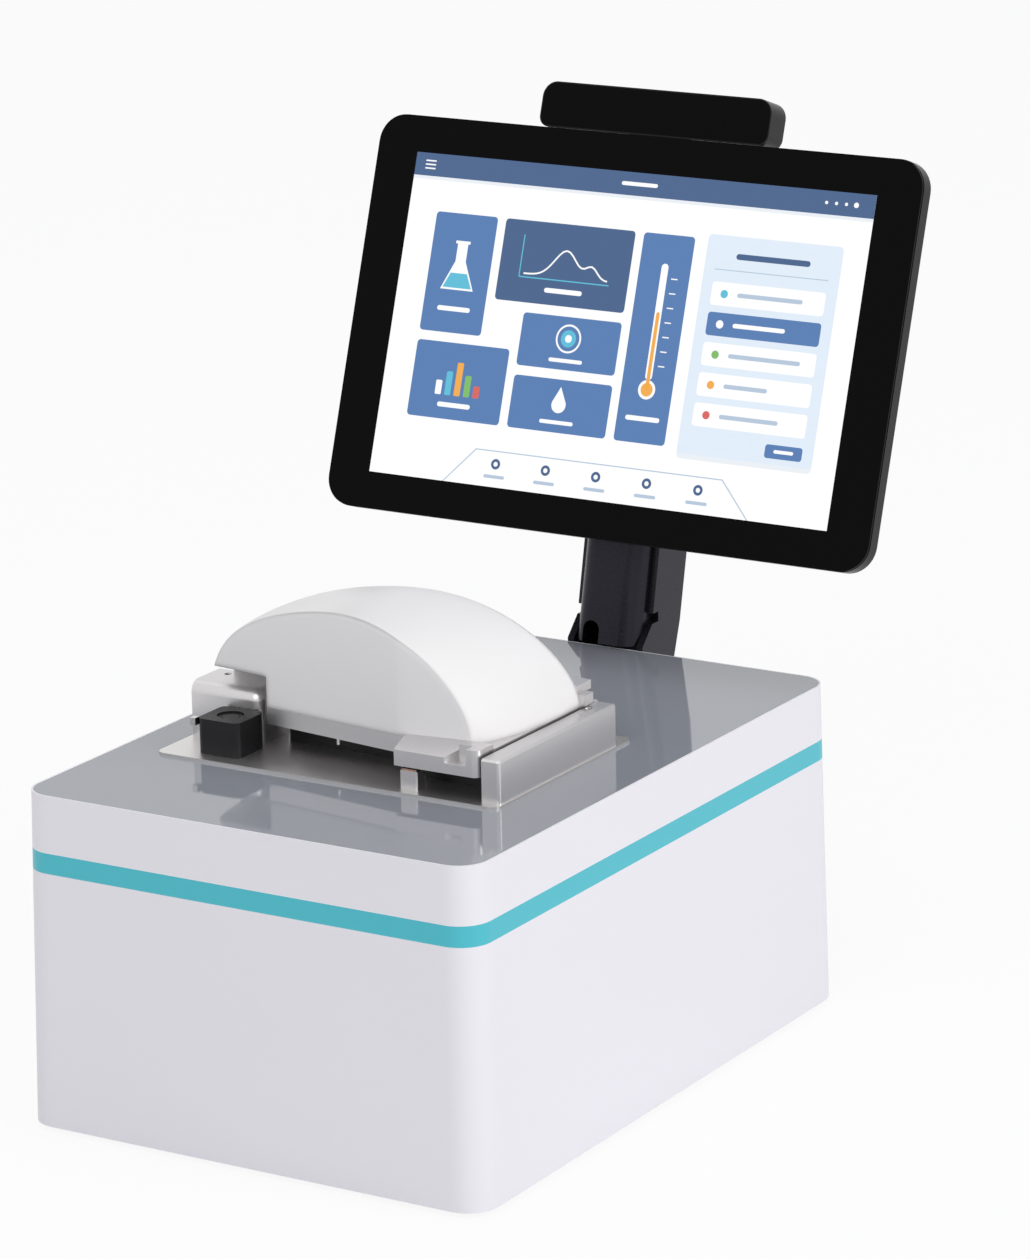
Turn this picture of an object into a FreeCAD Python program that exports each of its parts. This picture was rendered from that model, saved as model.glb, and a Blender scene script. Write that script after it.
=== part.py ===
import FreeCAD, Part
import math
import os
import re
import Sketcher

# Microvolume spectrophotometer, in millimetres. X runs along the width, Y to the back and Z up.
# The origin lies midway between the four feet, on the surface that they stand on.

SIZES = {
    # Housing: width and depth are taken at the top edge, and the walls lean out towards the base.
    "housing_width": 203.4,
    "housing_depth": 278,
    "housing_height": 134.2,
    "housing_draft": 0.97,
    "housing_wall": 3,
    "corner_round": 12.5,
    "foot_standout": 2,
    "band_drop": 23,
    "band_height": 8.2,
    "tongue_height": 3,
    "seam_gap": 0.1,
    "panel_thickness": 2,
    "panel_rim": 0.8,
    "deck_thickness": 3,
    "overcut": 2,
    "bolt_clearance": 0.1,
    "screw_clearance": 0.2,
    # Base plate, feet and bosses
    "base_plate_thickness": 2,
    "foot_radius": 8,
    "foot_inset": 24,
    "boss_radius": 5,
    "boss_height": 12,
    "boss_inset": 10,
    "boss_rib": 2,
    "boss_floor": 2,
    "base_screw_radius": 1.5,
    "base_screw_head_radius": 3,
    "base_screw_head": 1.6,
    "base_screw_spare": 3,
    "base_vent_length": 60,
    "base_vent_width": 3,
    "base_vent_pitch": 7,
    "base_vent_start": -80,
    "base_vent_count": 8,
    "base_sheet_gap": 0.3,
    # Opening under the measuring stage
    "stage_opening_left": -70,
    "stage_opening_right": 58,
    "stage_opening_front": -60,
    "stage_opening_back": 20,
    # Connector panel in the rear wall
    "rear_panel_width": 150,
    "rear_panel_height": 60,
    "rear_panel_low": 14,
    "rear_panel_thickness": 1.5,
    "rear_panel_sink": 0.2,
    "socket_rise": 14,
    "socket_depth": 16,
    "socket_floor": 3,
    "usb_middle": -6,
    "usb_width": 13.2,
    "usb_height": 14.4,
    "usb_wall": 0.5,
    "usb_bay_height": 5.2,
    "usb_tongue_inset": 1.2,
    "usb_tongue_height": 1.8,
    "usb_tongue_lift": 0.2,
    "usb_tongue_sink": 2,
    "network_middle": 16,
    "network_width": 16,
    "network_height": 13.4,
    "network_bay_width": 11.8,
    "network_bay_low": 3.4,
    "network_bay_high": 4.6,
    "network_latch_width": 6,
    "network_latch_low": 5.4,
    "network_latch_high": 2,
    "power_jack_middle": 38,
    "power_jack_radius": 5.5,
    "power_jack_bore": 3.2,
    "power_jack_pin": 1,
    "power_jack_lip": 1.5,
    "power_jack_flange": 1,
    "power_jack_floor": 4,
    "power_jack_pin_sink": 1,
    "switch_middle": 60,
    "switch_width": 15,
    "switch_height": 21,
    "switch_frame_lip": 2,
    "switch_frame_thickness": 1.6,
    "rocker_gap": 0.35,
    "rocker_swing": 16,
    "rocker_standout": 2.2,
    "rocker_belly": 4,
    "rocker_dish": 1.5,
    "rocker_taper": 0.9,
    "switch_frame_wall": 1.2,
    "switch_depth": 12,
    "rocker_axis_drop": 3,
    "rocker_cheek": 1,
    "rocker_pin_seat": 0.7,
    "rocker_pin_radius": 1,
    "pin_fit": 0.05,
    # Fan behind the connector panel
    "fan_middle": -48,
    "fan_rise": 30,
    "fan_width": 40,
    "fan_depth": 10,
    "fan_bore": 19,
    "fan_hub": 9,
    "fan_tip_gap": 0.8,
    "fan_blade_count": 7,
    "fan_blade_pitch": 38,
    "fan_blade_root": 1,
    "fan_end_gap": 0.8,
    "fan_shaft_sink": 2,
    "fan_bore_floor": 0.8,
    "fan_blade_thickness": 1.1,
    "fan_shaft_radius": 1.5,
    "fan_shaft_fit": 0.05,
    "grille_wire": 0.8,
    "grille_pitch": 4.4,
    "grille_rings": 4,
    "fan_seat_thickness": 2,
    "fan_arm_width": 3,
    # Optical bench and modules inside the housing
    "bench_width": 170,
    "bench_depth": 190,
    "bench_thickness": 5,
    "bench_drop": 52.2,
    "bench_middle": -20,
    "bench_post_radius": 5,
    "bench_post_inset": 10,
    "spectrometer_width": 96,
    "spectrometer_depth": 74,
    "spectrometer_height": 30,
    "spectrometer_inset": 6,
    "spectrometer_front": 15,
    "spectrometer_cut_across": 28.8,
    "spectrometer_cut_deep": 25.9,
    "fibre_inlet_across": 20,
    "fibre_inlet_radius": 5,
    "fibre_inlet_length": 8,
    "lamp_width": 48,
    "lamp_depth": 60,
    "lamp_height": 34,
    "module_gap": 12,
    "lamp_front": 20,
    "lamp_nozzle_radius": 7,
    "lamp_nozzle_length": 12,
    "board_thickness": 1.6,
    "board_standoff": 6,
    "standoff_radius": 3,
    "standoff_inset": 5,
    "chip_height": 2,
    "main_board_width": 130,
    "main_board_depth": 110,
    "main_board_middle": -50,
    "power_board_width": 130,
    "power_board_depth": 70,
    "power_board_middle": 60,
    "capacitor_radius": 6,
    "capacitor_height": 18,
    "capacitor_pitch": 16,
    "capacitor_start": -50,
    "capacitor_front": -12,
    "coil_left": 20,
    "coil_front": -22,
    "coil_width": 28,
    "coil_depth": 24,
    "coil_height": 20,
    # Stage plate
    "plate_left": -83,
    "plate_right": 73,
    "plate_front": -74.5,
    "plate_back": 28,
    "plate_thickness": 1,
    "plate_corner": 4,
    "plate_bore_gap": 0.5,
    # Right-hand rail and left-hand block beside the arm
    "rail_left": 64.2,
    "rail_width": 8,
    "rail_front": -70.5,
    "rail_back": 16,
    "rail_height": 17,
    "rail_edge": 1.5,
    "rail_chamfer": 0.8,
    "rail_screw_across": 66.2,
    "rail_screw_back": 6,
    "rail_screw_radius": 1.5,
    "rail_screw_length": 6,
    "rail_screw_sink": 0.4,
    "block_screw_across": -75.6,
    "block_screw_back": -33.6,
    "block_left": -83,
    "block_width": 32.5,
    "block_front": -48.5,
    "block_depth": 20,
    "block_height": 22,
    "block_round": 4.6,
    "block_corner": 4,
    # Tube port in front of the block
    "port_left": -67.5,
    "port_gap": 0.5,
    "port_well_spare": 1,
    "catch_size": 3,
    "catch_reach": 2.4,
    "catch_standout": 0.8,
    "port_width": 19.4,
    "port_depth": 19,
    "port_height": 14.2,
    "port_corner": 3,
    "plug_radius": 5,
    "plug_gap": 0.35,
    "plug_depth": 8,
    "plug_sink": 0.6,
    "plug_groove_inset": 1,
    "plug_groove_width": 0.4,
    "plug_groove_depth": 0.4,
    # Rest post, pedestal block and pedestals
    "post_left": 27.3,
    "post_width": 7.8,
    "post_front": -70,
    "post_depth": 6,
    "post_height": 8,
    "post_pad": 0.6,
    "post_corner": 0.8,
    "pedestal_count": 8,
    "pedestal_pitch": 9,
    "pedestal_radius": 1.75,
    "pedestal_standout": 1.6,
    "pedestal_line": -32,
    "pedestal_block_left": -44,
    "pedestal_block_right": 58,
    "pedestal_step_left": 29,
    "pedestal_step_front": -54.4,
    "pedestal_block_front": -38,
    "pedestal_block_depth": 12,
    "pedestal_block_height": 6,
    # Path-length drive under the pedestals
    "sample_gap": 1.2,
    "upper_pedestal_standout": 0.8,
    "carriage_drop": 18.2,
    "carriage_front": 6,
    "carriage_back": 8,
    "guide_spare": 3,
    "path_motor_corner": 3,
    "upper_block_inset": 4,
    "upper_block_half_depth": 4.5,
    "upper_block_gap": 1,
    "stop_pin_across": -10,
    "stop_pin_back": -55,
    "stop_pin_radius": 0.8,
    "stop_pin_length": 3.1,
    "carriage_half_width": 46,
    "path_screw_line": -28,
    "guide_offset": 40,
    "guide_radius": 2,
    "path_screw_radius": 2.5,
    "path_motor_width": 28,
    "path_motor_height": 22,
    "path_carriage_height": 8,
    "path_shaft_fit": 0.05,
    # Measuring arm
    "arm_middle": -8.4,
    "arm_base_drop": 17.9,
    "arm_base_thickness": 6.7,
    "prow_across": 22,
    "prow_front": -62,
    "left_facet_turn": 7.4,
    "right_facet_turn": 3.8,
    "cover_back": 4.5,
    "cover_wall": 2.4,
    "cover_floor": 2,
    "cover_spare": 10,
    "cover_window_left": -28,
    "cover_window_right": 48,
    "cover_window_front": -50,
    "cover_window_back": -8,
    "ridge_radius": 9,
    "arm_screw_radius": 1.5,
    "arm_screw_left": -37,
    "arm_screw_right": 56,
    "arm_screw_front": -24,
    "arm_screw_back": -2,
    "arm_screw_head": 1.2,
    "arm_screw_head_radius": 3,
    "arm_screw_rest": 0.6,
    "cover_notch_right": -44,
    "cover_notch_back": -28,
    "cover_notch_height": 12.4,
    "arm_side_gap": 1,
    # Arch sections of the cover: half width and rise at the front, at the middle and at the back
    "arch_middle": -6.5,
    "arch_front": -70,
    "arch_front_width": 53,
    "arch_front_rise": 47.2,
    "arch_second": -50,
    "arch_second_width": 64.9,
    "arch_second_rise": 42.8,
    "arch_third": -30,
    "arch_third_width": 69.5,
    "arch_third_rise": 42.4,
    "arch_back": 12,
    "arch_back_width": 69.5,
    "arch_back_rise": 35.4,
    "arch_left_side_power": 1.7,
    "arch_left_crown_power": 2.9,
    "arch_right_side_power": 2.08,
    "arch_right_crown_power": 1.7,
    # Handle on the arm
    "handle_left": 25.2,
    "handle_right": 62.8,
    "handle_front": -70.5,
    "handle_rise": 9,
    "handle_height": 10.7,
    "handle_slope_run": 10,
    "handle_slope_drop": 4.4,
    "handle_slope_right": 51.4,
    "handle_notch_left": 47.7,
    "handle_notch_right": 57.4,
    "handle_notch_depth": 5.2,
    "handle_notch_drop": 6.7,
    "handle_corner": 3,
    # Hinge of the arm
    "hinge_line": 14,
    "hinge_rise": 12,
    "hinge_pin_radius": 2.5,
    "hinge_fit": 0.05,
    "hinge_bearing_radius": 6,
    "hinge_bearing_width": 10,
    "bracket_foot": 8,
    "bracket_neck": 5.6,
    "bracket_shoulder": 1,
    "bracket_left": -34,
    "bracket_right": 43,
    "lug_cap_lower_right": 65.3,
    "lug_cap_lower_back": 11,
    "lug_cap_lower_height": 4.4,
    "lug_cap_upper_right": 62,
    "lug_cap_upper_back": 15,
    "lug_cap_upper_height": 3.5,
    "hinge_side_gap": 0.5,
    # Neck behind the housing
    "neck_middle": -5,
    "neck_half_width": 18,
    "neck_wall": 3,
    "neck_lean": 12.9,
    "neck_setback": 8,
    "neck_depth": 24,
    "neck_bend_rise": 5.8,
    "neck_bend_length": 35,
    "neck_back_drop": 26.2,
    "neck_back_standout": 16,
    "neck_foot_half_width": 26,
    "neck_foot_thickness": 4,
    "neck_foot_drop": 2.2,
    "neck_foot_height": 52,
    "neck_foot_edge": 2,
    "neck_foot_seat": 1,
    "neck_bolt_inset": 4,
    "neck_bolt_edge": 8,
    "neck_bolt_length": 11,
    "neck_bolt_hole": 14,
    "neck_bolt_head": 2.4,
    "neck_flare_setback": 0.6,
    "neck_notch_rise": 9.6,
    "neck_notch_height": 4.2,
    "neck_notch_depth": 6,
    "neck_knuckle_drop": 4,
    "neck_web_inset": 1,
    "neck_web_length": 80,
    "neck_web_top_depth": 18,
    "neck_shell_half_width": 15,
    "neck_shell_reach": 9,
    "neck_shell_rise": 1.3,
    "neck_shell_height": 58.5,
    "neck_shell_cheek": 4,
    "neck_shell_wall": 2.2,
    "neck_shell_round": 8,
    "neck_knuckle_radius": 8,
    "cable_notch_across": -11,
    "cable_notch_radius": 4,
    "cable_notch_height": 9,
    "neck_screw_radius": 2,
    "neck_screw_head": 3.2,
    # Display
    "display_setback": 5.4,
    "display_rise": 131,
    "display_tilt": 18.8,
    "screen_width": 216.96,
    "screen_height": 135.6,
    "side_bezel": 19.8,
    "top_bezel": 15.5,
    "display_corner": 12,
    "glass_thickness": 1.2,
    "glass_inset": 0.2,
    "frame_depth": 3.6,
    "frame_wall": 4,
    "back_depth": 4.4,
    "back_wall": 2.4,
    "back_edge": 2,
    "bulge_half_width": 74,
    "bulge_low": -34,
    "bulge_high": 46,
    "bulge_depth": 15,
    "bulge_round": 8,
    "bulge_edge": 4,
    "vent_length": 80,
    "vent_pitch": 5,
    "vent_width": 2.4,
    "vent_count": 4,
    "vent_drop": 12,
    "bulge_seat": 1,
    "display_screw_inset": 14,
    "display_screw_radius": 1.2,
    "display_boss_radius": 3,
    "display_boss_gap": 1,
    "display_screw_head_radius": 2.16,
    "display_screw_head": 1,
    "display_screw_rest": 0.5,
    "lcd_thickness": 2.4,
    "lcd_margin": 5,
    "display_board_width": 110,
    "display_board_height": 56,
    "display_board_gap": 2,
    "display_standoff_radius": 2.5,
    "display_chip": 24,
    "display_chip_height": 1.6,
    "tilt_axis_back": 38,
    "tilt_axis_rise": -12,
    "tilt_pin_radius": 3,
    "tilt_lug_width": 8,
    "tilt_lug_radius": 8,
    "tilt_side_gap": 0.4,
    "tilt_foot_spread": 6,
    "tilt_foot_rim": 2,
    "tilt_foot_thickness": 2,
    # Scanner bar on top of the display
    "scanner_half_width": 54,
    "scanner_front": 3.2,
    "scanner_depth": 12.6,
    "scanner_height": 19.1,
    "scanner_gap": 0.4,
    "scanner_round": 6.5,
    "scanner_wall": 2,
    "scanner_foot_round": 4.5,
    "scanner_window_depth": 1.2,
    "scanner_window_rim": 0.6,
    "scanner_stem_half_width": 14,
    "scanner_stem_thickness": 3,
    "scanner_stem_drop": 24,
    "scanner_board_inset": 12,
    "scanner_board_height": 8,
    "scanner_board_back": 3,
    "scanner_board_thickness": 1.2,
    "scanner_lens_across": -20,
    "scanner_lens_radius": 3,
    "scanner_lens_length": 3,
    "scanner_lens_gap": 0.6,
    "scanner_spacer_left": 10,
    "scanner_spacer_width": 20,
    "scanner_spacer_height": 6,
}

# Places that follow from the sizes: levels above the standing surface and distances from the middle
PLACES = {
    "socket_level": "rear_panel_low + socket_rise",
    "fan_level": "rear_panel_low + fan_rise",
    "bench_level": "foot_standout + housing_height - bench_drop",
    "carriage_level": "foot_standout + housing_height - carriage_drop",
    "neck_front_place": "housing_depth / 2 + neck_setback",
    "neck_flare_place": "housing_depth / 2 + neck_flare_setback",
    "neck_reference": "foot_standout + housing_height + neck_bend_rise",
    "neck_bend_high": "neck_reference + neck_bend_length",
    "neck_back_low": "foot_standout + housing_height - neck_back_drop",
    "neck_foot_high": "foot_standout + housing_height - neck_foot_drop",
    "neck_foot_low": "neck_foot_high - neck_foot_height",
    "neck_notch_low": "foot_standout + housing_height + neck_notch_rise",
    "neck_notch_high": "neck_notch_low + neck_notch_height",
    "neck_web_high": "neck_reference + neck_web_length",
    "neck_shell_low": "foot_standout + housing_height + neck_shell_rise",
    "neck_shell_high": "neck_shell_low + neck_shell_height",
    "display_middle": "housing_depth / 2 + display_setback",
    "display_level": "foot_standout + housing_height + display_rise",
    "spectrometer_left": "-bench_width / 2 + spectrometer_inset",
    "lamp_left": "spectrometer_left + spectrometer_width + module_gap",
}

document = FreeCAD.newDocument("spectrophotometer")
sheet = document.addObject("Spreadsheet::Sheet", "sizes")
for row, (alias, amount) in enumerate(SIZES.items(), start=1):
    sheet.set(f"A{row}", alias.replace("_", " "))
    sheet.set(f"B{row}", str(amount))
    sheet.setAlias(f"B{row}", alias)
document.recompute()

NODES = []


def formula(text):
    """Turn a text of size and place names into a formula that reads the size sheet."""

    def cell(word):
        if word[0] in PLACES:
            return f"({formula(PLACES[word[0]])})"
        return f"sizes.{word[0]}" if word[0] in SIZES else word[0]

    return re.sub(r"[a-z]\w+", cell, str(text))


def amount_of(text):
    """Work a text of size names out to a number."""
    return float(sheet.evalExpression(formula(text)))


def bind(item, name, text):
    item.setExpression(name, formula(text))


def place(item, at=("0", "0", "0")):
    for axis, text in zip("xyz", at):
        bind(item, f"Placement.Base.{axis}", text)


def node(item, label):
    """Name a finished piece of the instrument."""
    item.Label = label
    NODES.append(item)
    return item


def box(label, low, high):
    """Block between two corners, each corner given as three texts."""
    item = document.addObject("Part::Box", label)
    for name, start, end in zip(("Length", "Width", "Height"), low, high):
        bind(item, name, f"({end}) - ({start})")
    place(item, low)
    return item


TURNS = {
    "z": FreeCAD.Rotation(),
    "x": FreeCAD.Rotation(FreeCAD.Vector(0, 1, 0), 90),
    "y": FreeCAD.Rotation(FreeCAD.Vector(1, 0, 0), -90),
}


def rod(label, base, radius, length, axis="z"):
    """Cylinder that starts at a point and runs along one axis."""
    item = document.addObject("Part::Cylinder", label)
    bind(item, "Radius", radius)
    bind(item, "Height", length)
    item.Placement = FreeCAD.Placement(FreeCAD.Vector(), TURNS[axis])
    place(item, base)
    return item


def hexagon(label, base, radius, length, axis="z"):
    """Six-sided pillar or bolt head that starts at a point and runs along one axis."""
    item = document.addObject("Part::Prism", label)
    bind(item, "Circumradius", radius)
    bind(item, "Height", length)
    item.Placement = FreeCAD.Placement(FreeCAD.Vector(), TURNS[axis])
    place(item, base)
    return item


def fuse(label, *items):
    item = document.addObject("Part::MultiFuse", label)
    item.Shapes = list(items)
    return item


def cut(label, base, *tools):
    item = document.addObject("Part::Cut", label)
    item.Base = base
    item.Tool = tools[0] if len(tools) == 1 else fuse(f"{label}_tools", *tools)
    return item


def common(label, first, second):
    item = document.addObject("Part::MultiCommon", label)
    item.Shapes = [first, second]
    return item


def group(label, *items):
    """Several separate solids that share one node."""
    item = document.addObject("Part::Compound", label)
    item.Links = list(items)
    return item


def edges_along(shape, direction, test=lambda point: True):
    """Names of the straight edges along a direction whose middle passes a test."""
    names = []
    for number, edge in enumerate(shape.Edges, start=1):
        if edge.Length < 1e-6:
            continue
        middle = edge.valueAt((edge.FirstParameter + edge.LastParameter) / 2)
        tangent = edge.tangentAt((edge.FirstParameter + edge.LastParameter) / 2)
        if abs(tangent.dot(direction)) > 0.99 and test(middle):
            names.append(f"Edge{number}")
    return names


UP = FreeCAD.Vector(0, 0, 1)
ACROSS = FreeCAD.Vector(1, 0, 0)
DEEP = FreeCAD.Vector(0, 1, 0)


class Solid:
    """One body, built up from outlines that are drawn on its own origin planes."""

    def __init__(self, label):
        self.label = label
        self.count = 0
        self.body = document.addObject("PartDesign::Body", label)

    def feature(self, kind):
        self.count += 1
        return self.body.newObject(kind, f"{self.label}_step_{self.count}")

    def outline(self, plane, level, corners):
        """Closed outline through corners that are pairs of texts, at a level along the plane's normal."""
        sketch = self.feature("Sketcher::SketchObject")
        support = [part for part in self.body.Origin.OriginFeatures if part.Role == f"{plane}_Plane"]
        sketch.AttachmentSupport = [(support[0], "")]
        sketch.MapMode = "FlatFace"
        bind(sketch, "AttachmentOffset.Base.z", level)
        places = [FreeCAD.Vector(amount_of(first), amount_of(second), 0) for first, second in corners]
        for number, start in enumerate(places):
            sketch.addGeometry(Part.LineSegment(start, places[(number + 1) % len(places)]))
        for number in range(len(places)):
            sketch.addConstraint(Sketcher.Constraint("Coincident", number, 2, (number + 1) % len(places), 1))
        for number, (corner, start) in enumerate(zip(corners, places)):
            for kind, text, amount in zip(("DistanceX", "DistanceY"), corner, (start.x, start.y)):
                index = sketch.addConstraint(Sketcher.Constraint(kind, -1, 1, number, 1, amount))
                bind(sketch, f"Constraints[{index}]", text)
        return sketch

    def circle(self, plane, level, middle, radius):
        sketch = self.feature("Sketcher::SketchObject")
        support = [part for part in self.body.Origin.OriginFeatures if part.Role == f"{plane}_Plane"]
        sketch.AttachmentSupport = [(support[0], "")]
        sketch.MapMode = "FlatFace"
        bind(sketch, "AttachmentOffset.Base.z", level)
        centre = FreeCAD.Vector(amount_of(middle[0]), amount_of(middle[1]), 0)
        sketch.addGeometry(Part.Circle(centre, UP, amount_of(radius)))
        for kind, text, amount in zip(("DistanceX", "DistanceY"), middle, (centre.x, centre.y)):
            index = sketch.addConstraint(Sketcher.Constraint(kind, -1, 1, 0, 3, amount))
            bind(sketch, f"Constraints[{index}]", text)
        index = sketch.addConstraint(Sketcher.Constraint("Radius", 0, amount_of(radius)))
        bind(sketch, f"Constraints[{index}]", radius)
        return sketch

    def pad(self, sketch, length, reverse=False):
        step = self.feature("PartDesign::Pad")
        step.Profile = sketch
        step.Reversed = reverse
        bind(step, "Length", length)
        document.recompute()
        return self

    def pocket(self, sketch, length, reverse=False):
        before = self.body.Shape.Volume
        step = self.feature("PartDesign::Pocket")
        step.Profile = sketch
        step.Reversed = reverse
        bind(step, "Length", length)
        document.recompute()
        if step.Shape.Volume >= before:
            raise ValueError(f"a pocket of {self.label} removes nothing")
        return self

    def round(self, direction, radius, test=lambda point: True, kind="Fillet"):
        base = self.body.Tip
        names = edges_along(base.Shape, direction, test)
        step = self.feature(f"PartDesign::{kind}")
        step.Base = (base, names)
        bind(step, "Radius" if kind == "Fillet" else "Size", radius)
        document.recompute()
        return self


def rectangle(left, front, right, back):
    return [(left, front), (right, front), (right, back), (left, back)]


def mirrored(half_width, low, high, middle="0"):
    return rectangle(f"{middle} - ({half_width})", low, f"{middle} + ({half_width})", high)


CORNERS = ((-1, -1), (1, -1), (1, 1), (-1, 1))

# Levels that several pieces share
TOP = "(foot_standout + housing_height)"
BAND_TOP = f"({TOP} - band_drop)"
BAND_LOW = f"({BAND_TOP} - band_height)"
PLATE_TOP = f"({TOP} + plate_thickness)"
BASE_PLATE_LOW = "(foot_standout + 1)"
BASE_PLATE_TOP = f"({BASE_PLATE_LOW} + base_plate_thickness)"
ARM_TOP = f"({PLATE_TOP} + arm_base_drop)"
ARM_LOW = f"({ARM_TOP} - arm_base_thickness)"
HINGE_LEVEL = f"({PLATE_TOP} + hinge_rise)"
PEDESTAL_TOP = f"({PLATE_TOP} + pedestal_block_height + pedestal_standout)"


def drafted_block(label, low, high, inset):
    """Block whose sides follow the leaning housing walls, a given distance inside their skin."""
    solid = Solid(label)
    wedge = solid.feature("PartDesign::AdditiveWedge")
    wedge.Placement.Rotation = FreeCAD.Rotation(ACROSS, 90)
    bind(wedge, "Ymin", low)
    bind(wedge, "Ymax", high)
    for end, level in (("", low), ("2", high)):
        grown = f"({TOP} - ({level})) * tan(housing_draft) - ({inset})"
        for axis, half in (("X", f"(housing_width / 2 + {grown})"), ("Z", f"(housing_depth / 2 + {grown})")):
            bind(wedge, f"{axis}{end}min", f"-{half}")
            bind(wedge, f"{axis}{end}max", half)
    document.recompute()
    base = solid.body.Tip
    names = [
        f"Edge{number}"
        for number, edge in enumerate(base.Shape.Edges, start=1)
        if abs(edge.tangentAt(edge.FirstParameter).z) > 0.9
    ]
    step = solid.feature("PartDesign::Fillet")
    step.Base = (base, names)
    bind(step, "Radius", f"corner_round - ({inset})")
    document.recompute()
    return solid.body


def wall_at(level):
    """Distance from the middle plane to the outer skin of the rear wall at a level."""
    return f"(housing_depth / 2 + ({TOP} - ({level})) * tan(housing_draft))"


def stage_opening(label, low, high):
    corners = rectangle("stage_opening_left", "stage_opening_front", "stage_opening_right", "stage_opening_back")
    solid = Solid(label)
    solid.pad(solid.outline("XY", low, corners), f"({high}) - ({low})")
    return solid.round(UP, "plate_corner").body


def boss_place(x_side, y_side):
    return (f"{x_side} * (housing_width / 2 - boss_inset)", f"{y_side} * (housing_depth / 2 - boss_inset)")


def boss_rods(label, low, radius, length, form=rod):
    return [
        form(f"{label}_{number}", (*boss_place(x_side, y_side), low), radius, length)
        for number, (x_side, y_side) in enumerate(CORNERS)
    ]


def neck_bolt_holes(label, level):
    """Two bores through the rear wall for the bolts of the neck's foot."""
    return [
        rod(
            f"{label}_{number}",
            (
                f"neck_middle + {side} * (neck_foot_half_width - neck_bolt_inset)",
                f"{wall_at('0')} - neck_bolt_hole / 2",
                level,
            ),
            "neck_screw_radius + bolt_clearance",
            "neck_bolt_hole",
            "y",
        )
        for number, side in enumerate((-1, 1))
    ]


def lower_housing():
    skin = drafted_block("lower_skin", "foot_standout", BAND_LOW, "0")
    cavity = drafted_block("lower_cavity", "foot_standout - overcut", f"{BAND_LOW} + overcut", "housing_wall")
    rabbet = drafted_block(
        "lower_rabbet",
        f"{BAND_LOW} - tongue_height - seam_gap",
        f"{BAND_LOW} + overcut",
        "housing_wall / 2",
    )
    panel_hole = box(
        "rear_panel_hole",
        ("-rear_panel_width / 2", f"{wall_at('rear_panel_low')} - housing_wall - overcut", "rear_panel_low"),
        ("rear_panel_width / 2", f"{wall_at('0')} + overcut", "rear_panel_low + rear_panel_height"),
    )
    bolt_holes = neck_bolt_holes("lower_bolt_hole", "neck_foot_low + neck_bolt_edge")
    shell = cut("lower_shell", skin, cavity, rabbet, panel_hole, *bolt_holes)
    bosses = boss_rods("housing_boss", BASE_PLATE_TOP, "boss_radius", "boss_height")
    ribs = [
        box(
            f"boss_rib_{number}",
            (
                f"{x_side} * (housing_width / 2 - boss_inset / 2) - boss_inset / 2",
                f"{y_side} * (housing_depth / 2 - boss_inset) - boss_rib / 2",
                BASE_PLATE_TOP,
            ),
            (
                f"{x_side} * (housing_width / 2 - boss_inset / 2) + boss_inset / 2",
                f"{y_side} * (housing_depth / 2 - boss_inset) + boss_rib / 2",
                f"{BASE_PLATE_TOP} + boss_height",
            ),
        )
        for number, (x_side, y_side) in enumerate(CORNERS)
    ]
    body = fuse("lower_with_bosses", shell, *bosses, *ribs)
    depth = f"{BASE_PLATE_TOP} + boss_height - boss_floor"
    holes = boss_rods("boss_hole", "0", "base_screw_radius + bolt_clearance", depth)
    return node(cut("lower_housing", body, *holes), "lower_housing")


def accent_band():
    skin = drafted_block("band_skin", BAND_LOW, BAND_TOP, "0")
    bore = drafted_block(
        "band_bore",
        f"{BAND_LOW} - tongue_height - overcut",
        f"{BAND_TOP} + tongue_height + overcut",
        "housing_wall",
    )
    tongue = drafted_block(
        "band_tongue",
        f"{BAND_LOW} - tongue_height",
        f"{BAND_TOP} + tongue_height",
        "housing_wall / 2 + seam_gap",
    )
    return node(cut("accent_band", fuse("band_with_tongue", skin, tongue), bore), "accent_band")


def upper_housing():
    skin = drafted_block("upper_skin", BAND_TOP, TOP, "0")
    cavity = drafted_block(
        "upper_cavity", f"{BAND_TOP} - overcut", f"{TOP} - panel_thickness - deck_thickness", "housing_wall"
    )
    rabbet = drafted_block(
        "upper_rabbet",
        f"{BAND_TOP} - overcut",
        f"{BAND_TOP} + tongue_height + seam_gap",
        "housing_wall / 2",
    )
    recess = drafted_block("panel_recess", f"{TOP} - panel_thickness", f"{TOP} + overcut", "panel_rim")
    deck_low = f"{TOP} - panel_thickness - deck_thickness"
    opening = stage_opening("deck_opening", f"{deck_low} - overcut", f"{TOP} + overcut")
    bolt_holes = neck_bolt_holes("upper_bolt_hole", "neck_foot_high - neck_bolt_edge")
    return node(cut("upper_housing", skin, cavity, rabbet, recess, opening, *bolt_holes), "upper_housing")


def top_panel():
    sheet_block = drafted_block("panel_sheet", f"{TOP} - panel_thickness", TOP, "panel_rim + seam_gap")
    opening = stage_opening("panel_opening", f"{TOP} - panel_thickness - overcut", f"{TOP} + overcut")
    return node(cut("top_panel", sheet_block, opening), "top_panel")


def foot_place(x_side, y_side):
    return (f"{x_side} * (housing_width / 2 - foot_inset)", f"{y_side} * (housing_depth / 2 - foot_inset)")


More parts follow.
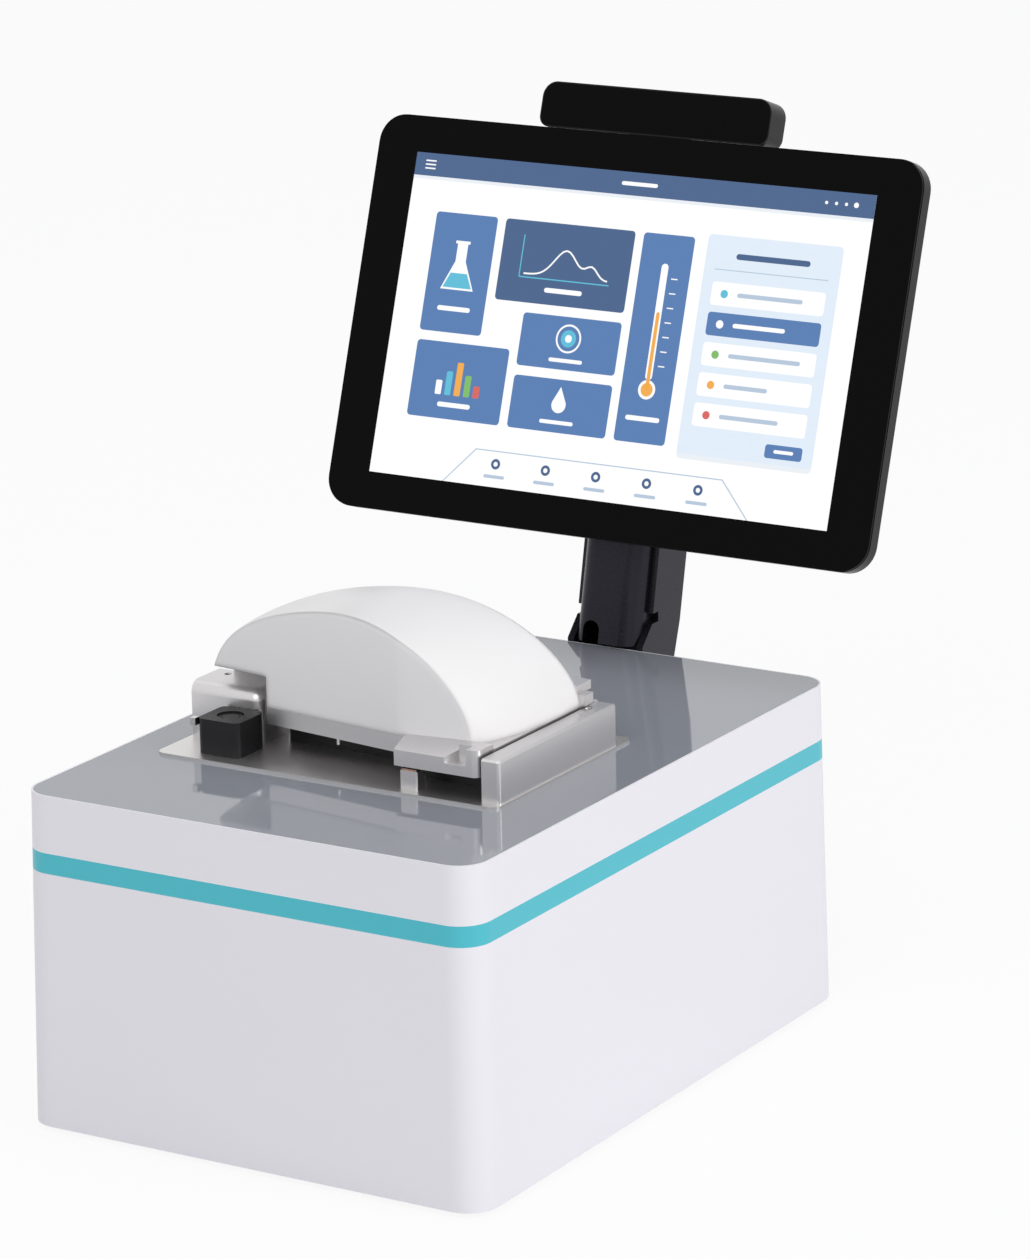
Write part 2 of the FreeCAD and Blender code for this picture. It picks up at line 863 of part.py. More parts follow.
def base_plate():
    sheet_block = drafted_block("base_sheet", BASE_PLATE_LOW, BASE_PLATE_TOP, "housing_wall + base_sheet_gap")
    radius = "base_screw_radius + screw_clearance"
    holes = boss_rods("base_screw_hole", "0", radius, f"{BASE_PLATE_TOP} + overcut")
    slots = [
        box(
            f"base_vent_{number}",
            ("-base_vent_length / 2", f"{number} * base_vent_pitch + base_vent_start", "0"),
            (
                "base_vent_length / 2",
                f"{number} * base_vent_pitch + base_vent_start + base_vent_width",
                f"{BASE_PLATE_TOP} + overcut",
            ),
        )
        for number in range(SIZES["base_vent_count"])
    ]
    return node(cut("base_plate", sheet_block, *holes, *slots), "base_plate")


def rubber_feet():
    feet = []
    for number, (x_side, y_side) in enumerate(CORNERS):
        at_x, at_y = foot_place(x_side, y_side)
        foot = Solid(f"foot_{number}")
        foot.pad(foot.circle("XY", BASE_PLATE_LOW, (at_x, at_y), "foot_radius"), BASE_PLATE_LOW, reverse=True)
        feet.append(foot.body)
    return node(group("rubber_feet", *feet), "rubber_feet")


def base_screws():
    low = f"{BASE_PLATE_LOW} - base_screw_head"
    length = "base_screw_head + base_plate_thickness + boss_height - base_screw_spare"
    heads = boss_rods("base_screw_head", low, "base_screw_head_radius", "base_screw_head", hexagon)
    shanks = boss_rods("base_screw_shank", low, "base_screw_radius", length)
    screws = [fuse(f"base_screw_{number}", *pair) for number, pair in enumerate(zip(heads, shanks))]
    return node(group("base_screws", *screws), "base_screws")


PANEL_BACK = f"({wall_at('rear_panel_low + rear_panel_height')} - rear_panel_sink)"
PANEL_FRONT = f"({PANEL_BACK} - rear_panel_thickness)"


def panel_slot(label, middle, level, width, height, gap="0"):
    """Rectangular hole through the connector panel."""
    return box(
        label,
        (f"{middle} - {width} / 2 - {gap}", f"{PANEL_FRONT} - overcut", f"{level} - {height} / 2 - {gap}"),
        (f"{middle} + {width} / 2 + {gap}", f"{PANEL_BACK} + overcut", f"{level} + {height} / 2 + {gap}"),
    )


def rear_panel():
    plate = box(
        "rear_panel_plate",
        ("-rear_panel_width / 2 + seam_gap", PANEL_FRONT, "rear_panel_low + seam_gap"),
        ("rear_panel_width / 2 - seam_gap", PANEL_BACK, "rear_panel_low + rear_panel_height - seam_gap"),
    )
    holes = [
        panel_slot("usb_hole", "usb_middle", "socket_level", "usb_width", "usb_height", "seam_gap"),
        panel_slot("network_hole", "network_middle", "socket_level", "network_width", "network_height", "seam_gap"),
        panel_slot("switch_hole", "switch_middle", "socket_level", "switch_width", "switch_height", "seam_gap"),
        rod(
            "power_jack_hole",
            ("power_jack_middle", f"{PANEL_FRONT} - overcut", "socket_level"),
            "power_jack_radius + seam_gap",
            "rear_panel_thickness + 2 * overcut",
            "y",
        ),
        rod(
            "fan_hole",
            ("fan_middle", f"{PANEL_FRONT} - overcut", "fan_level"),
            "fan_bore",
            "rear_panel_thickness + 2 * overcut",
            "y",
        ),
    ]
    return node(fuse("rear_panel", cut("rear_panel_sheet", plate, *holes), *grille_wires()), "rear_panel")


def usb_ports():
    shell = box(
        "usb_shell",
        ("usb_middle - usb_width / 2", f"{PANEL_BACK} - socket_depth", "socket_level - usb_height / 2"),
        ("usb_middle + usb_width / 2", PANEL_BACK, "socket_level + usb_height / 2"),
    )
    bays = [
        box(
            f"usb_bay_{number}",
            (
                "usb_middle - usb_width / 2 + usb_wall",
                f"{PANEL_BACK} - socket_depth + socket_floor",
                f"socket_level + {level} * usb_height / 4 - usb_bay_height / 2",
            ),
            (
                "usb_middle + usb_width / 2 - usb_wall",
                f"{PANEL_BACK} + overcut",
                f"socket_level + {level} * usb_height / 4 + usb_bay_height / 2",
            ),
        )
        for number, level in enumerate((-1, 1))
    ]
    tongues = [
        box(
            f"usb_tongue_{number}",
            (
                "usb_middle - usb_width / 2 + usb_tongue_inset",
                f"{PANEL_BACK} - socket_depth",
                f"socket_level + {level} * usb_height / 4 + usb_tongue_lift",
            ),
            (
                "usb_middle + usb_width / 2 - usb_tongue_inset",
                f"{PANEL_BACK} - usb_tongue_sink",
                f"socket_level + {level} * usb_height / 4 + usb_tongue_lift + usb_tongue_height",
            ),
        )
        for number, level in enumerate((-1, 1))
    ]
    return node(fuse("usb_ports", cut("usb_case", shell, *bays), *tongues), "usb_ports")


def network_port():
    shell = box(
        "network_shell",
        (
            "network_middle - network_width / 2",
            f"{PANEL_BACK} - socket_depth",
            "socket_level - network_height / 2",
        ),
        ("network_middle + network_width / 2", PANEL_BACK, "socket_level + network_height / 2"),
    )
    bay = box(
        "network_bay",
        (
            "network_middle - network_bay_width / 2",
            f"{PANEL_BACK} - socket_depth + socket_floor",
            "socket_level - network_bay_low",
        ),
        (
            "network_middle + network_bay_width / 2",
            f"{PANEL_BACK} + overcut",
            "socket_level + network_bay_high",
        ),
    )
    latch_slot = box(
        "network_latch_slot",
        (
            "network_middle - network_latch_width / 2",
            f"{PANEL_BACK} - socket_depth + socket_floor",
            "socket_level - network_latch_low",
        ),
        (
            "network_middle + network_latch_width / 2",
            f"{PANEL_BACK} + overcut",
            "socket_level - network_latch_high",
        ),
    )
    return node(cut("network_port", shell, bay, latch_slot), "network_port")


def power_jack():
    barrel = rod(
        "jack_barrel",
        ("power_jack_middle", f"{PANEL_BACK} - socket_depth", "socket_level"),
        "power_jack_radius",
        "socket_depth",
        "y",
    )
    flange = rod(
        "jack_flange",
        ("power_jack_middle", PANEL_BACK, "socket_level"),
        "power_jack_radius + power_jack_lip",
        "power_jack_flange",
        "y",
    )
    bore = rod(
        "jack_bore",
        ("power_jack_middle", f"{PANEL_BACK} - socket_depth + power_jack_floor", "socket_level"),
        "power_jack_bore",
        "socket_depth",
        "y",
    )
    pin = rod(
        "jack_pin",
        ("power_jack_middle", f"{PANEL_BACK} - socket_depth", "socket_level"),
        "power_jack_pin",
        "socket_depth - power_jack_pin_sink",
        "y",
    )
    hollow = cut("jack_case", fuse("jack_body", barrel, flange), bore)
    return node(fuse("power_jack", hollow, pin), "power_jack")


ROCKER_AXIS_BACK = f"({PANEL_BACK} - rocker_axis_drop)"
ROCKER_HALF_HEIGHT = "(switch_height / 2 - switch_frame_wall - rocker_gap)"


def power_switch_frame():
    case = box(
        "switch_case",
        (
            "switch_middle - switch_width / 2",
            f"{PANEL_BACK} - switch_depth",
            "socket_level - switch_height / 2",
        ),
        ("switch_middle + switch_width / 2", PANEL_BACK, "socket_level + switch_height / 2"),
    )
    lip = box(
        "switch_lip",
        (
            "switch_middle - switch_width / 2 - switch_frame_lip",
            PANEL_BACK,
            "socket_level - switch_height / 2 - switch_frame_lip",
        ),
        (
            "switch_middle + switch_width / 2 + switch_frame_lip",
            f"{PANEL_BACK} + switch_frame_thickness",
            "socket_level + switch_height / 2 + switch_frame_lip",
        ),
    )
    well = box(
        "switch_well",
        (
            "switch_middle - switch_width / 2 + switch_frame_wall",
            f"{PANEL_BACK} - switch_depth + switch_frame_wall",
            "socket_level - switch_height / 2 + switch_frame_wall",
        ),
        (
            "switch_middle + switch_width / 2 - switch_frame_wall",
            f"{PANEL_BACK} + overcut",
            "socket_level + switch_height / 2 - switch_frame_wall",
        ),
    )
    pin = rod(
        "switch_pin",
        (
            "switch_middle - switch_width / 2 + switch_frame_wall - rocker_pin_seat",
            ROCKER_AXIS_BACK,
            "socket_level",
        ),
        "rocker_pin_radius",
        "switch_width - 2 * (switch_frame_wall - rocker_pin_seat)",
        "x",
    )
    hollow = cut("switch_hollow", fuse("switch_block", case, lip), well)
    return node(fuse("power_switch_frame", hollow, pin), "power_switch_frame")


def power_rocker():
    """Rocker with a shallow V face; it rests tipped to the on side."""
    solid = Solid("rocker")
    profile = solid.outline(
        "YZ",
        "switch_middle - switch_width / 2 + switch_frame_wall + rocker_gap",
        [
            (f"{ROCKER_AXIS_BACK} - rocker_belly", "socket_level"),
            (f"{ROCKER_AXIS_BACK} - rocker_cheek", f"socket_level - {ROCKER_HALF_HEIGHT} * rocker_taper"),
            (f"{PANEL_BACK} + rocker_standout", f"socket_level - {ROCKER_HALF_HEIGHT} * rocker_taper"),
            (f"{PANEL_BACK} + rocker_standout - rocker_dish", "socket_level"),
            (f"{PANEL_BACK} + rocker_standout", f"socket_level + {ROCKER_HALF_HEIGHT} * rocker_taper"),
            (f"{ROCKER_AXIS_BACK} - rocker_cheek", f"socket_level + {ROCKER_HALF_HEIGHT} * rocker_taper"),
        ],
    )
    solid.pad(profile, "switch_width - 2 * (switch_frame_wall + rocker_gap)")
    centre = (ROCKER_AXIS_BACK, "socket_level")
    bore = solid.circle("YZ", "switch_middle - switch_width", centre, "rocker_pin_radius + pin_fit")
    solid.pocket(bore, "2 * switch_width", reverse=True)
    body = solid.body
    swing = amount_of("rocker_swing / 2")
    pivot = FreeCAD.Vector(0, amount_of(ROCKER_AXIS_BACK), amount_of("socket_level"))
    body.Placement = FreeCAD.Placement(FreeCAD.Vector(), FreeCAD.Rotation(ACROSS, swing), pivot)
    return node(body, "power_rocker")


def fan_frame():
    case = box(
        "fan_case",
        ("fan_middle - fan_width / 2", f"{PANEL_FRONT} - fan_depth", "fan_level - fan_width / 2"),
        ("fan_middle + fan_width / 2", PANEL_FRONT, "fan_level + fan_width / 2"),
    )
    bore = rod(
        "fan_bore_hole",
        ("fan_middle", f"{PANEL_FRONT} - fan_depth - overcut", "fan_level"),
        "fan_bore",
        "fan_depth + 2 * overcut",
        "y",
    )
    seat = rod(
        "fan_motor_seat",
        ("fan_middle", f"{PANEL_FRONT} - fan_depth", "fan_level"),
        "fan_hub",
        "fan_seat_thickness",
        "y",
    )
    shaft = rod(
        "fan_shaft",
        ("fan_middle", f"{PANEL_FRONT} - fan_depth", "fan_level"),
        "fan_shaft_radius",
        "fan_depth - fan_shaft_sink",
        "y",
    )
    arms = [
        box(
            f"fan_arm_{number}",
            (f"fan_middle - {across}", f"{PANEL_FRONT} - fan_depth", f"fan_level - {along}"),
            (
                f"fan_middle + {across}",
                f"{PANEL_FRONT} - fan_depth + fan_seat_thickness",
                f"fan_level + {along}",
            ),
        )
        for number, (across, along) in enumerate(
            (("(fan_bore + 1)", "(fan_arm_width / 2)"), ("(fan_arm_width / 2)", "(fan_bore + 1)"))
        )
    ]
    return node(fuse("fan_frame", cut("fan_shell", case, bore), seat, shaft, *arms), "fan_frame")


def fan_rotor():
    """Hub and pitched blades, trimmed to the tip circle and bored for the shaft."""
    hub_radius = amount_of("fan_hub")
    tip_radius = amount_of("fan_bore - fan_tip_gap")
    depth = amount_of("fan_depth - fan_seat_thickness - 2 * fan_end_gap")
    half = amount_of("fan_blade_thickness / 2")
    pitch = amount_of("fan_blade_pitch")
    count = SIZES["fan_blade_count"]
    root = amount_of("fan_hub - fan_blade_root")
    reach = depth / math.sin(math.radians(pitch)) / 2
    hub = Part.makeCylinder(hub_radius, depth, FreeCAD.Vector(), DEEP)
    keep = Part.makeCylinder(tip_radius, depth, FreeCAD.Vector(), DEEP)
    blades = []
    for turn in range(count):
        blade = Part.makeBox(2 * reach, 2 * half, tip_radius - root, FreeCAD.Vector(-reach, -half, root))
        blade.rotate(FreeCAD.Vector(), UP, pitch)
        blade.translate(DEEP * (depth / 2))
        blade.rotate(FreeCAD.Vector(), DEEP, turn * 360 / count)
        blades.append(blade)
    bore_length = depth - amount_of("fan_bore_floor")
    bore = Part.makeCylinder(amount_of("fan_shaft_radius + fan_shaft_fit"), bore_length, FreeCAD.Vector(), DEEP)
    item = document.addObject("Part::Feature", "fan_rotor")
    item.Shape = hub.multiFuse(blades).common(keep).cut(bore).removeSplitter()
    item.Placement.Base = FreeCAD.Vector(
        amount_of("fan_middle"),
        amount_of(f"{PANEL_FRONT} - fan_depth + fan_seat_thickness + fan_end_gap"),
        amount_of("fan_level"),
    )
    return node(item, "fan_rotor")


def grille_wires():
    """Rings and four spokes of flat wire over the fan hole."""
    parts = []
    for number in range(SIZES["grille_rings"]):
        outer = f"fan_bore + grille_wire - {number} * grille_pitch"
        ring = cut(
            f"grille_ring_{number}",
            rod(f"grille_disc_{number}", ("fan_middle", PANEL_BACK, "fan_level"), outer, "grille_wire", "y"),
            rod(
                f"grille_gap_{number}",
                ("fan_middle", f"{PANEL_BACK} - overcut", "fan_level"),
                f"{outer} - 2 * grille_wire",
                "grille_wire + 2 * overcut",
                "y",
            ),
        )
        parts.append(ring)
    for number, (across, along) in enumerate((("fan_bore", "grille_wire"), ("grille_wire", "fan_bore"))):
        parts.append(
            box(
                f"grille_spoke_{number}",
                (f"fan_middle - {across}", PANEL_BACK, f"fan_level - {along}"),
                (f"fan_middle + {across}", f"{PANEL_BACK} + grille_wire", f"fan_level + {along}"),
            )
        )
    return parts


BENCH_TOP = "(bench_level + bench_thickness)"


def optical_bench():
    plate = Solid("optical_bench")
    front = "bench_middle - bench_depth / 2"
    back = "bench_middle + bench_depth / 2"
    plate.pad(plate.outline("XY", "bench_level", mirrored("bench_width / 2", front, back)), "bench_thickness")
    return node(plate.round(UP, "plate_corner").body, "optical_bench")


def bench_posts():
    posts = [
        hexagon(
            f"bench_post_{number}",
            (
                f"{x_side} * (bench_width / 2 - bench_post_inset)",
                f"bench_middle + {y_side} * (bench_depth / 2 - bench_post_inset)",
                BASE_PLATE_TOP,
            ),
            "bench_post_radius",
            f"bench_level - {BASE_PLATE_TOP}",
        )
        for number, (x_side, y_side) in enumerate(CORNERS)
    ]
    return node(group("bench_posts", *posts), "bench_posts")


def spectrometer_module():
    """Closed aluminium case with a slanted grating corner and a round fibre inlet."""
    solid = Solid("spectrometer_module")
    left = "spectrometer_left"
    front = "bench_middle + spectrometer_front"
    right = "spectrometer_left + spectrometer_width"
    back = f"{front} + spectrometer_depth"
    corners = [
        (left, front),
        (right, front),
        (right, f"{back} - spectrometer_cut_deep"),
        (f"{right} - spectrometer_cut_across", back),
        (left, back),
    ]
    solid.pad(solid.outline("XY", BENCH_TOP, corners), "spectrometer_height")
    inlet = solid.circle(
        "XZ",
        f"-({front})",
        (f"{left} + fibre_inlet_across", f"{BENCH_TOP} + spectrometer_height / 2"),
        "fibre_inlet_radius",
    )
    solid.pad(inlet, "fibre_inlet_length")
    return node(solid.body, "spectrometer_module")


def xenon_lamp():
    front = "bench_middle + lamp_front"
    case = box(
        "lamp_case",
        ("lamp_left", front, BENCH_TOP),
        ("lamp_left + lamp_width", f"{front} + lamp_depth", f"{BENCH_TOP} + lamp_height"),
    )
    nozzle = rod(
        "lamp_nozzle",
        ("lamp_left + lamp_width / 2", f"{front} - lamp_nozzle_length", f"{BENCH_TOP} + lamp_height / 2"),
        "lamp_nozzle_radius",
        "lamp_nozzle_length + overcut",
        "y",
    )
    return node(fuse("xenon_lamp", case, nozzle), "xenon_lamp")


def board(label, width, depth, middle_y):
    plate = Solid(label)
    level = f"{BASE_PLATE_TOP} + board_standoff"
    plate.pad(
        plate.outline(
            "XY", level, mirrored(f"{width} / 2", f"{middle_y} - {depth} / 2", f"{middle_y} + {depth} / 2")
        ),
        "board_thickness",
    )
    standoffs = [
        hexagon(
            f"{label}_standoff_{number}",
            (
                f"{x_side} * ({width} / 2 - standoff_inset)",
                f"{middle_y} + {y_side} * ({depth} / 2 - standoff_inset)",
                BASE_PLATE_TOP,
            ),
            "standoff_radius",
            "board_standoff",
        )
        for number, (x_side, y_side) in enumerate(CORNERS)
    ]
    return plate, standoffs


# Left edge, front edge from the board's middle, and side of each square chip
MAIN_CHIPS = (("-50", "-30", "22"), ("0", "-10", "18"), ("36", "-36", "14"))


def main_board():
    plate, standoffs = board("main_board_sheet", "main_board_width", "main_board_depth", "main_board_middle")
    level = f"{BASE_PLATE_TOP} + board_standoff + board_thickness"
    chips = [
        box(
            f"board_chip_{number}",
            (left, f"main_board_middle + {front}", level),
            (f"{left} + {size}", f"main_board_middle + {front} + {size}", f"{level} + chip_height"),
        )
        for number, (left, front, size) in enumerate(MAIN_CHIPS)
    ]
    return node(fuse("main_board", plate.body, *standoffs, *chips), "main_board")


def power_board():
    plate, standoffs = board("power_board_sheet", "power_board_width", "power_board_depth", "power_board_middle")
    level = f"{BASE_PLATE_TOP} + board_standoff + board_thickness"
    cans = [
        rod(
            f"capacitor_{number}",
            (f"capacitor_start + {number} * capacitor_pitch", "power_board_middle + capacitor_front", level),
            "capacitor_radius",
            "capacitor_height",
        )
        for number in range(3)
    ]
    coil_front = "power_board_middle + coil_front"
    core = box(
        "power_coil",
        ("coil_left", coil_front, level),
        ("coil_left + coil_width", f"{coil_front} + coil_depth", f"{level} + coil_height"),
    )
    return node(fuse("power_board", plate.body, *standoffs, *cans, core), "power_board")


def pedestal_at(number):
    return f"arm_middle + ({number} - (pedestal_count - 1) / 2) * pedestal_pitch"


def pedestal_bores(label, low, high, radius):
    return [
        rod(f"{label}_{number}", (pedestal_at(number), "pedestal_line", low), radius, f"{high} - ({low})")
        for number in range(SIZES["pedestal_count"])
    ]


def stage_plate():
    """Sheet with one slot that all the pedestals pass."""
    plate = Solid("stage_sheet")
    plate.pad(
        plate.outline("XY", TOP, rectangle("plate_left", "plate_front", "plate_right", "plate_back")),
        "plate_thickness",
    )
    plate.round(UP, "plate_corner")
    half = "(pedestal_radius + plate_bore_gap)"
    slot = box(
        "plate_slot",
        (f"{pedestal_at(0)} - {half}", f"pedestal_line - {half}", f"{TOP} - overcut"),
        (f"{pedestal_at(SIZES['pedestal_count'] - 1)} + {half}", f"pedestal_line + {half}", f"{PLATE_TOP} + overcut"),
    )
    return node(cut("stage_plate", plate.body, slot), "stage_plate")


def right_rail():
    rail = Solid("rail")
    right = "rail_left + rail_width"
    rail.pad(rail.outline("XY", PLATE_TOP, rectangle("rail_left", "rail_front", right, "rail_back")), "rail_height")
    front = amount_of("rail_front")
    side = amount_of(right)
    rail.round(UP, "rail_edge", lambda point: abs(point.y - front) < 0.1 and abs(point.x - side) < 0.1)
    rail.round(DEEP, "rail_chamfer", lambda point: point.x > side - 0.1 and point.z > 140, kind="Chamfer")
    hole = rod(
        "rail_screw_hole",
        ("rail_screw_across", "rail_screw_back", f"{PLATE_TOP} + rail_height - rail_screw_length"),
        "rail_screw_radius",
        "rail_screw_length + overcut",
    )
    return node(cut("right_rail", rail.body, hole), "right_rail")


BLOCK_TOP = f"({PLATE_TOP} + block_height)"


def left_block():
    block = Solid("block")
    right = "block_left + block_width"
    corners = rectangle("block_left", "block_front", right, "block_front + block_depth")
    block.pad(block.outline("XY", PLATE_TOP, corners), "block_height")
    front = amount_of("block_front")
    side = amount_of(right)
    block.round(UP, "block_corner", lambda point: abs(point.y - front) < 0.1 and abs(point.x - side) < 0.1)
    level = amount_of(BLOCK_TOP)
    names = edges_along(
        block.body.Tip.Shape, ACROSS, lambda point: abs(point.y - front) < 0.1 and abs(point.z - level) < 0.1
    )
    base = block.body.Tip
    step = block.feature("PartDesign::Fillet")
    step.Base = (base, names)
    bind(step, "Radius", "block_round")
    document.recompute()
    hole = rod(
        "block_screw_hole",
        ("block_screw_across", "block_screw_back", f"{BLOCK_TOP} - rail_screw_length"),
        "rail_screw_radius",
        "rail_screw_length + overcut",
    )
    return node(cut("left_block", block.body, hole), "left_block")


def stage_screws():
    """Socket screws in the rail and in the block; each has a hexagonal socket."""
    screws = []
    for number, (across, back, level) in enumerate(
        (
            ("rail_screw_across", "rail_screw_back", f"{PLATE_TOP} + rail_height"),
            ("block_screw_across", "block_screw_back", BLOCK_TOP),
        )
    ):
        shank = rod(
            f"stage_screw_shank_{number}",
            (across, back, f"{level} - rail_screw_length"),
            "rail_screw_radius",
            "rail_screw_length - rail_screw_sink",
        )
        socket = document.addObject("Part::Prism", f"stage_screw_socket_{number}")
        bind(socket, "Circumradius", "rail_screw_radius * 0.6")
        bind(socket, "Height", "rail_screw_radius")
        place(socket, (across, back, f"{level} - rail_screw_sink - rail_screw_radius * 0.7"))
        screws.append(cut(f"stage_screw_{number}", shank, socket))
    return node(group("stage_screws", *screws), "stage_screws")


PORT_TOP = f"({PLATE_TOP} + port_height)"
PORT_MIDDLE = ("port_left + port_width / 2", "block_front - port_gap - port_depth / 2")


def tube_port():
    port = Solid("port")
    back = "block_front - port_gap"
    corners = rectangle("port_left", f"{back} - port_depth", "port_left + port_width", back)
    port.pad(port.outline("XY", PLATE_TOP, corners), "port_height")
    port.round(UP, "port_corner")
    well = rod(
        "port_well",
        (*PORT_MIDDLE, f"{PORT_TOP} - plug_depth - plug_sink - port_well_spare"),
        "plug_radius + plug_gap",
        "plug_depth + plug_sink + port_well_spare + overcut",
    )
    return node(cut("tube_port", port.body, well), "tube_port")


def port_plug():
    plug = rod("plug_rod", (*PORT_MIDDLE, f"{PORT_TOP} - plug_sink - plug_depth"), "plug_radius", "plug_depth")
    low = (*PORT_MIDDLE, f"{PORT_TOP} - plug_sink - plug_groove_depth")
    groove = cut(
        "plug_groove",
        rod("plug_groove_disc", low, "plug_radius - plug_groove_inset", "plug_groove_depth + overcut"),
        rod(
            "plug_groove_core",
            low,
            "plug_radius - plug_groove_inset - plug_groove_width",
            "plug_groove_depth + 2 * overcut",
        ),
    )
    return node(cut("port_plug", plug, groove), "port_plug")


def port_catch():
    """Small plated catch on the port's upper left edge."""
    left = "port_left - catch_reach"
    front = "block_front - port_gap - port_depth - catch_standout"
    low = f"{PORT_TOP} - catch_size"
    plate = box("catch_plate", (left, front, low), ("port_left", f"{front} + catch_size", PORT_TOP))
    return node(plate, "port_catch")


def rest_post():
    column = Solid("rest_column")
    corners = rectangle("post_left", "post_front", "post_left + post_width", "post_front + post_depth")
    column.pad(column.outline("XY", PLATE_TOP, corners), "post_height - post_pad")
    return node(column.round(UP, "post_corner").body, "rest_post")


def post_pad():
    level = f"{PLATE_TOP} + post_height - post_pad"
    pad = box(
        "post_pad_sheet",
        ("post_left + post_pad", "post_front + post_pad", level),
        ("post_left + post_width - post_pad", "post_front + post_depth - post_pad", f"{level} + post_pad"),
    )
    return node(pad, "post_pad")


def pedestal_block():
    top = f"{PLATE_TOP} + pedestal_block_height"
    back = "pedestal_block_front + pedestal_block_depth"
    main = box(
        "pedestal_block_main",
        ("pedestal_block_left", "pedestal_block_front", PLATE_TOP),
        ("pedestal_block_right", back, top),
    )
    step = box(
        "pedestal_block_step",
        ("pedestal_step_left", "pedestal_step_front", PLATE_TOP),
        ("pedestal_block_right", "pedestal_block_front + overcut", top),
    )
    bores = pedestal_bores(
        "block_bore", f"{PLATE_TOP} - overcut", f"{top} + overcut", "pedestal_radius + plate_bore_gap"
    )
    return node(cut("pedestal_block", fuse("pedestal_block_body", main, step), *bores), "pedestal_block")


CARRIAGE_TOP = "(carriage_level + path_carriage_height)"


def lower_pedestals():
    stems = pedestal_bores("lower_pedestal", CARRIAGE_TOP, PEDESTAL_TOP, "pedestal_radius")
    return node(group("lower_pedestals", *stems), "lower_pedestals")


def path_carriage():
    bar = Solid("carriage_bar")
    front = "pedestal_line - carriage_front"
    back = "path_screw_line + carriage_back"
    bar.pad(
        bar.outline("XY", "carriage_level", mirrored("carriage_half_width", front, back, "arm_middle")),
        "path_carriage_height",
    )
    bores = [
        rod(
            "carriage_screw_bore",
            ("arm_middle", "path_screw_line", "carriage_level - overcut"),
            "path_screw_radius + path_shaft_fit",
            "path_carriage_height + 2 * overcut",
        )
    ]
    bores += [
        rod(
            f"carriage_guide_bore_{number}",
            (f"arm_middle + {side} * guide_offset", "path_screw_line", "carriage_level - overcut"),
            "guide_radius + path_shaft_fit",
            "path_carriage_height + 2 * overcut",
        )
        for number, side in enumerate((-1, 1))
    ]
    return node(cut("path_carriage", bar.body, *bores), "path_carriage")


def path_motor():
    half = "path_motor_width / 2"
    case = Solid("path_motor")
    case.pad(
        case.outline(
            "XY",
            BENCH_TOP,
            mirrored(half, f"path_screw_line - {half}", f"path_screw_line + {half}", "arm_middle"),
        ),
        "path_motor_height",
    )
    return node(case.round(UP, "path_motor_corner", kind="Chamfer").body, "path_motor")


def path_screw():
    level = f"({BENCH_TOP} + path_motor_height)"
    screw = rod(
        "path_screw",
        ("arm_middle", "path_screw_line", level),
        "path_screw_radius",
        f"{CARRIAGE_TOP} + guide_spare - {level}",
    )
    return node(screw, "path_screw")


def path_guides():
    rods = [
        rod(
            f"path_guide_{number}",
            (f"arm_middle + {side} * guide_offset", "path_screw_line", BENCH_TOP),
            "guide_radius",
            f"{CARRIAGE_TOP} + guide_spare - {BENCH_TOP}",
        )
        for number, side in enumerate((-1, 1))
    ]
    return node(group("path_guides", *rods), "path_guides")


def bearing_profile(solid, level, corners, width):
    """Arm or bracket in side view with a round bearing end, bored for the hinge pin."""
    solid.pad(solid.outline("YZ", level, corners), width)
    solid.pad(solid.circle("YZ", level, ("hinge_line", HINGE_LEVEL), "hinge_bearing_radius"), width)
    return solid


def hinge_brackets():
    brackets = []
    for number, left in enumerate(("bracket_left", "bracket_right")):
        solid = Solid(f"hinge_bracket_{number}")
        corners = [
            ("hinge_line - bracket_foot", PLATE_TOP),
            ("hinge_line + bracket_foot", PLATE_TOP),
            ("hinge_line + bracket_neck", f"{HINGE_LEVEL} + bracket_shoulder"),
            ("hinge_line - bracket_neck", f"{HINGE_LEVEL} + bracket_shoulder"),
        ]
        bearing_profile(solid, left, corners, "hinge_bearing_width")
        bore = solid.circle("YZ", left, ("hinge_line", HINGE_LEVEL), "hinge_pin_radius")
        solid.pocket(bore, "hinge_bearing_width", reverse=True)
        brackets.append(solid.body)
    return node(group("hinge_brackets", *brackets), "hinge_brackets")


def arm_lugs():
    lugs = []
    width = "hinge_bearing_width"
    lefts = (
        "bracket_left - hinge_side_gap - hinge_bearing_width",
        "bracket_right + hinge_bearing_width + hinge_side_gap",
    )
    for number, left in enumerate(lefts):
        solid = Solid(f"arm_lug_{number}")
        corners = rectangle("cover_back", ARM_LOW, "hinge_line", ARM_TOP)
        bearing_profile(solid, left, corners, width)
        bore = solid.circle("YZ", left, ("hinge_line", HINGE_LEVEL), "hinge_pin_radius + hinge_fit")
        solid.pocket(bore, width, reverse=True)
        lugs.append(solid.body)
    lower_cap = box(
        "lug_cap_lower",
        (lefts[1], "cover_back", ARM_TOP),
        ("lug_cap_lower_right", "lug_cap_lower_back", f"{ARM_TOP} + lug_cap_lower_height"),
    )
    upper_cap = box(
        "lug_cap_upper",
        (lefts[1], "cover_back", f"{ARM_TOP} + lug_cap_lower_height"),
        (
            "lug_cap_upper_right",
            "lug_cap_upper_back",
            f"{ARM_TOP} + lug_cap_lower_height + lug_cap_upper_height",
        ),
    )
    capped = fuse("right_arm_lug", lugs[1], lower_cap, upper_cap)
    return node(group("arm_lugs", lugs[0], capped), "arm_lugs")


def hinge_pin():
    start = "bracket_left - hinge_side_gap - hinge_bearing_width"
    end = "bracket_right + 2 * hinge_bearing_width + hinge_side_gap"
    pin = rod("hinge_pin", (start, "hinge_line", HINGE_LEVEL), "hinge_pin_radius", f"{end} - ({start})", "x")
    return node(pin, "hinge_pin")


LEFT_TURN = "tan(left_facet_turn)"
RIGHT_TURN = "tan(right_facet_turn)"


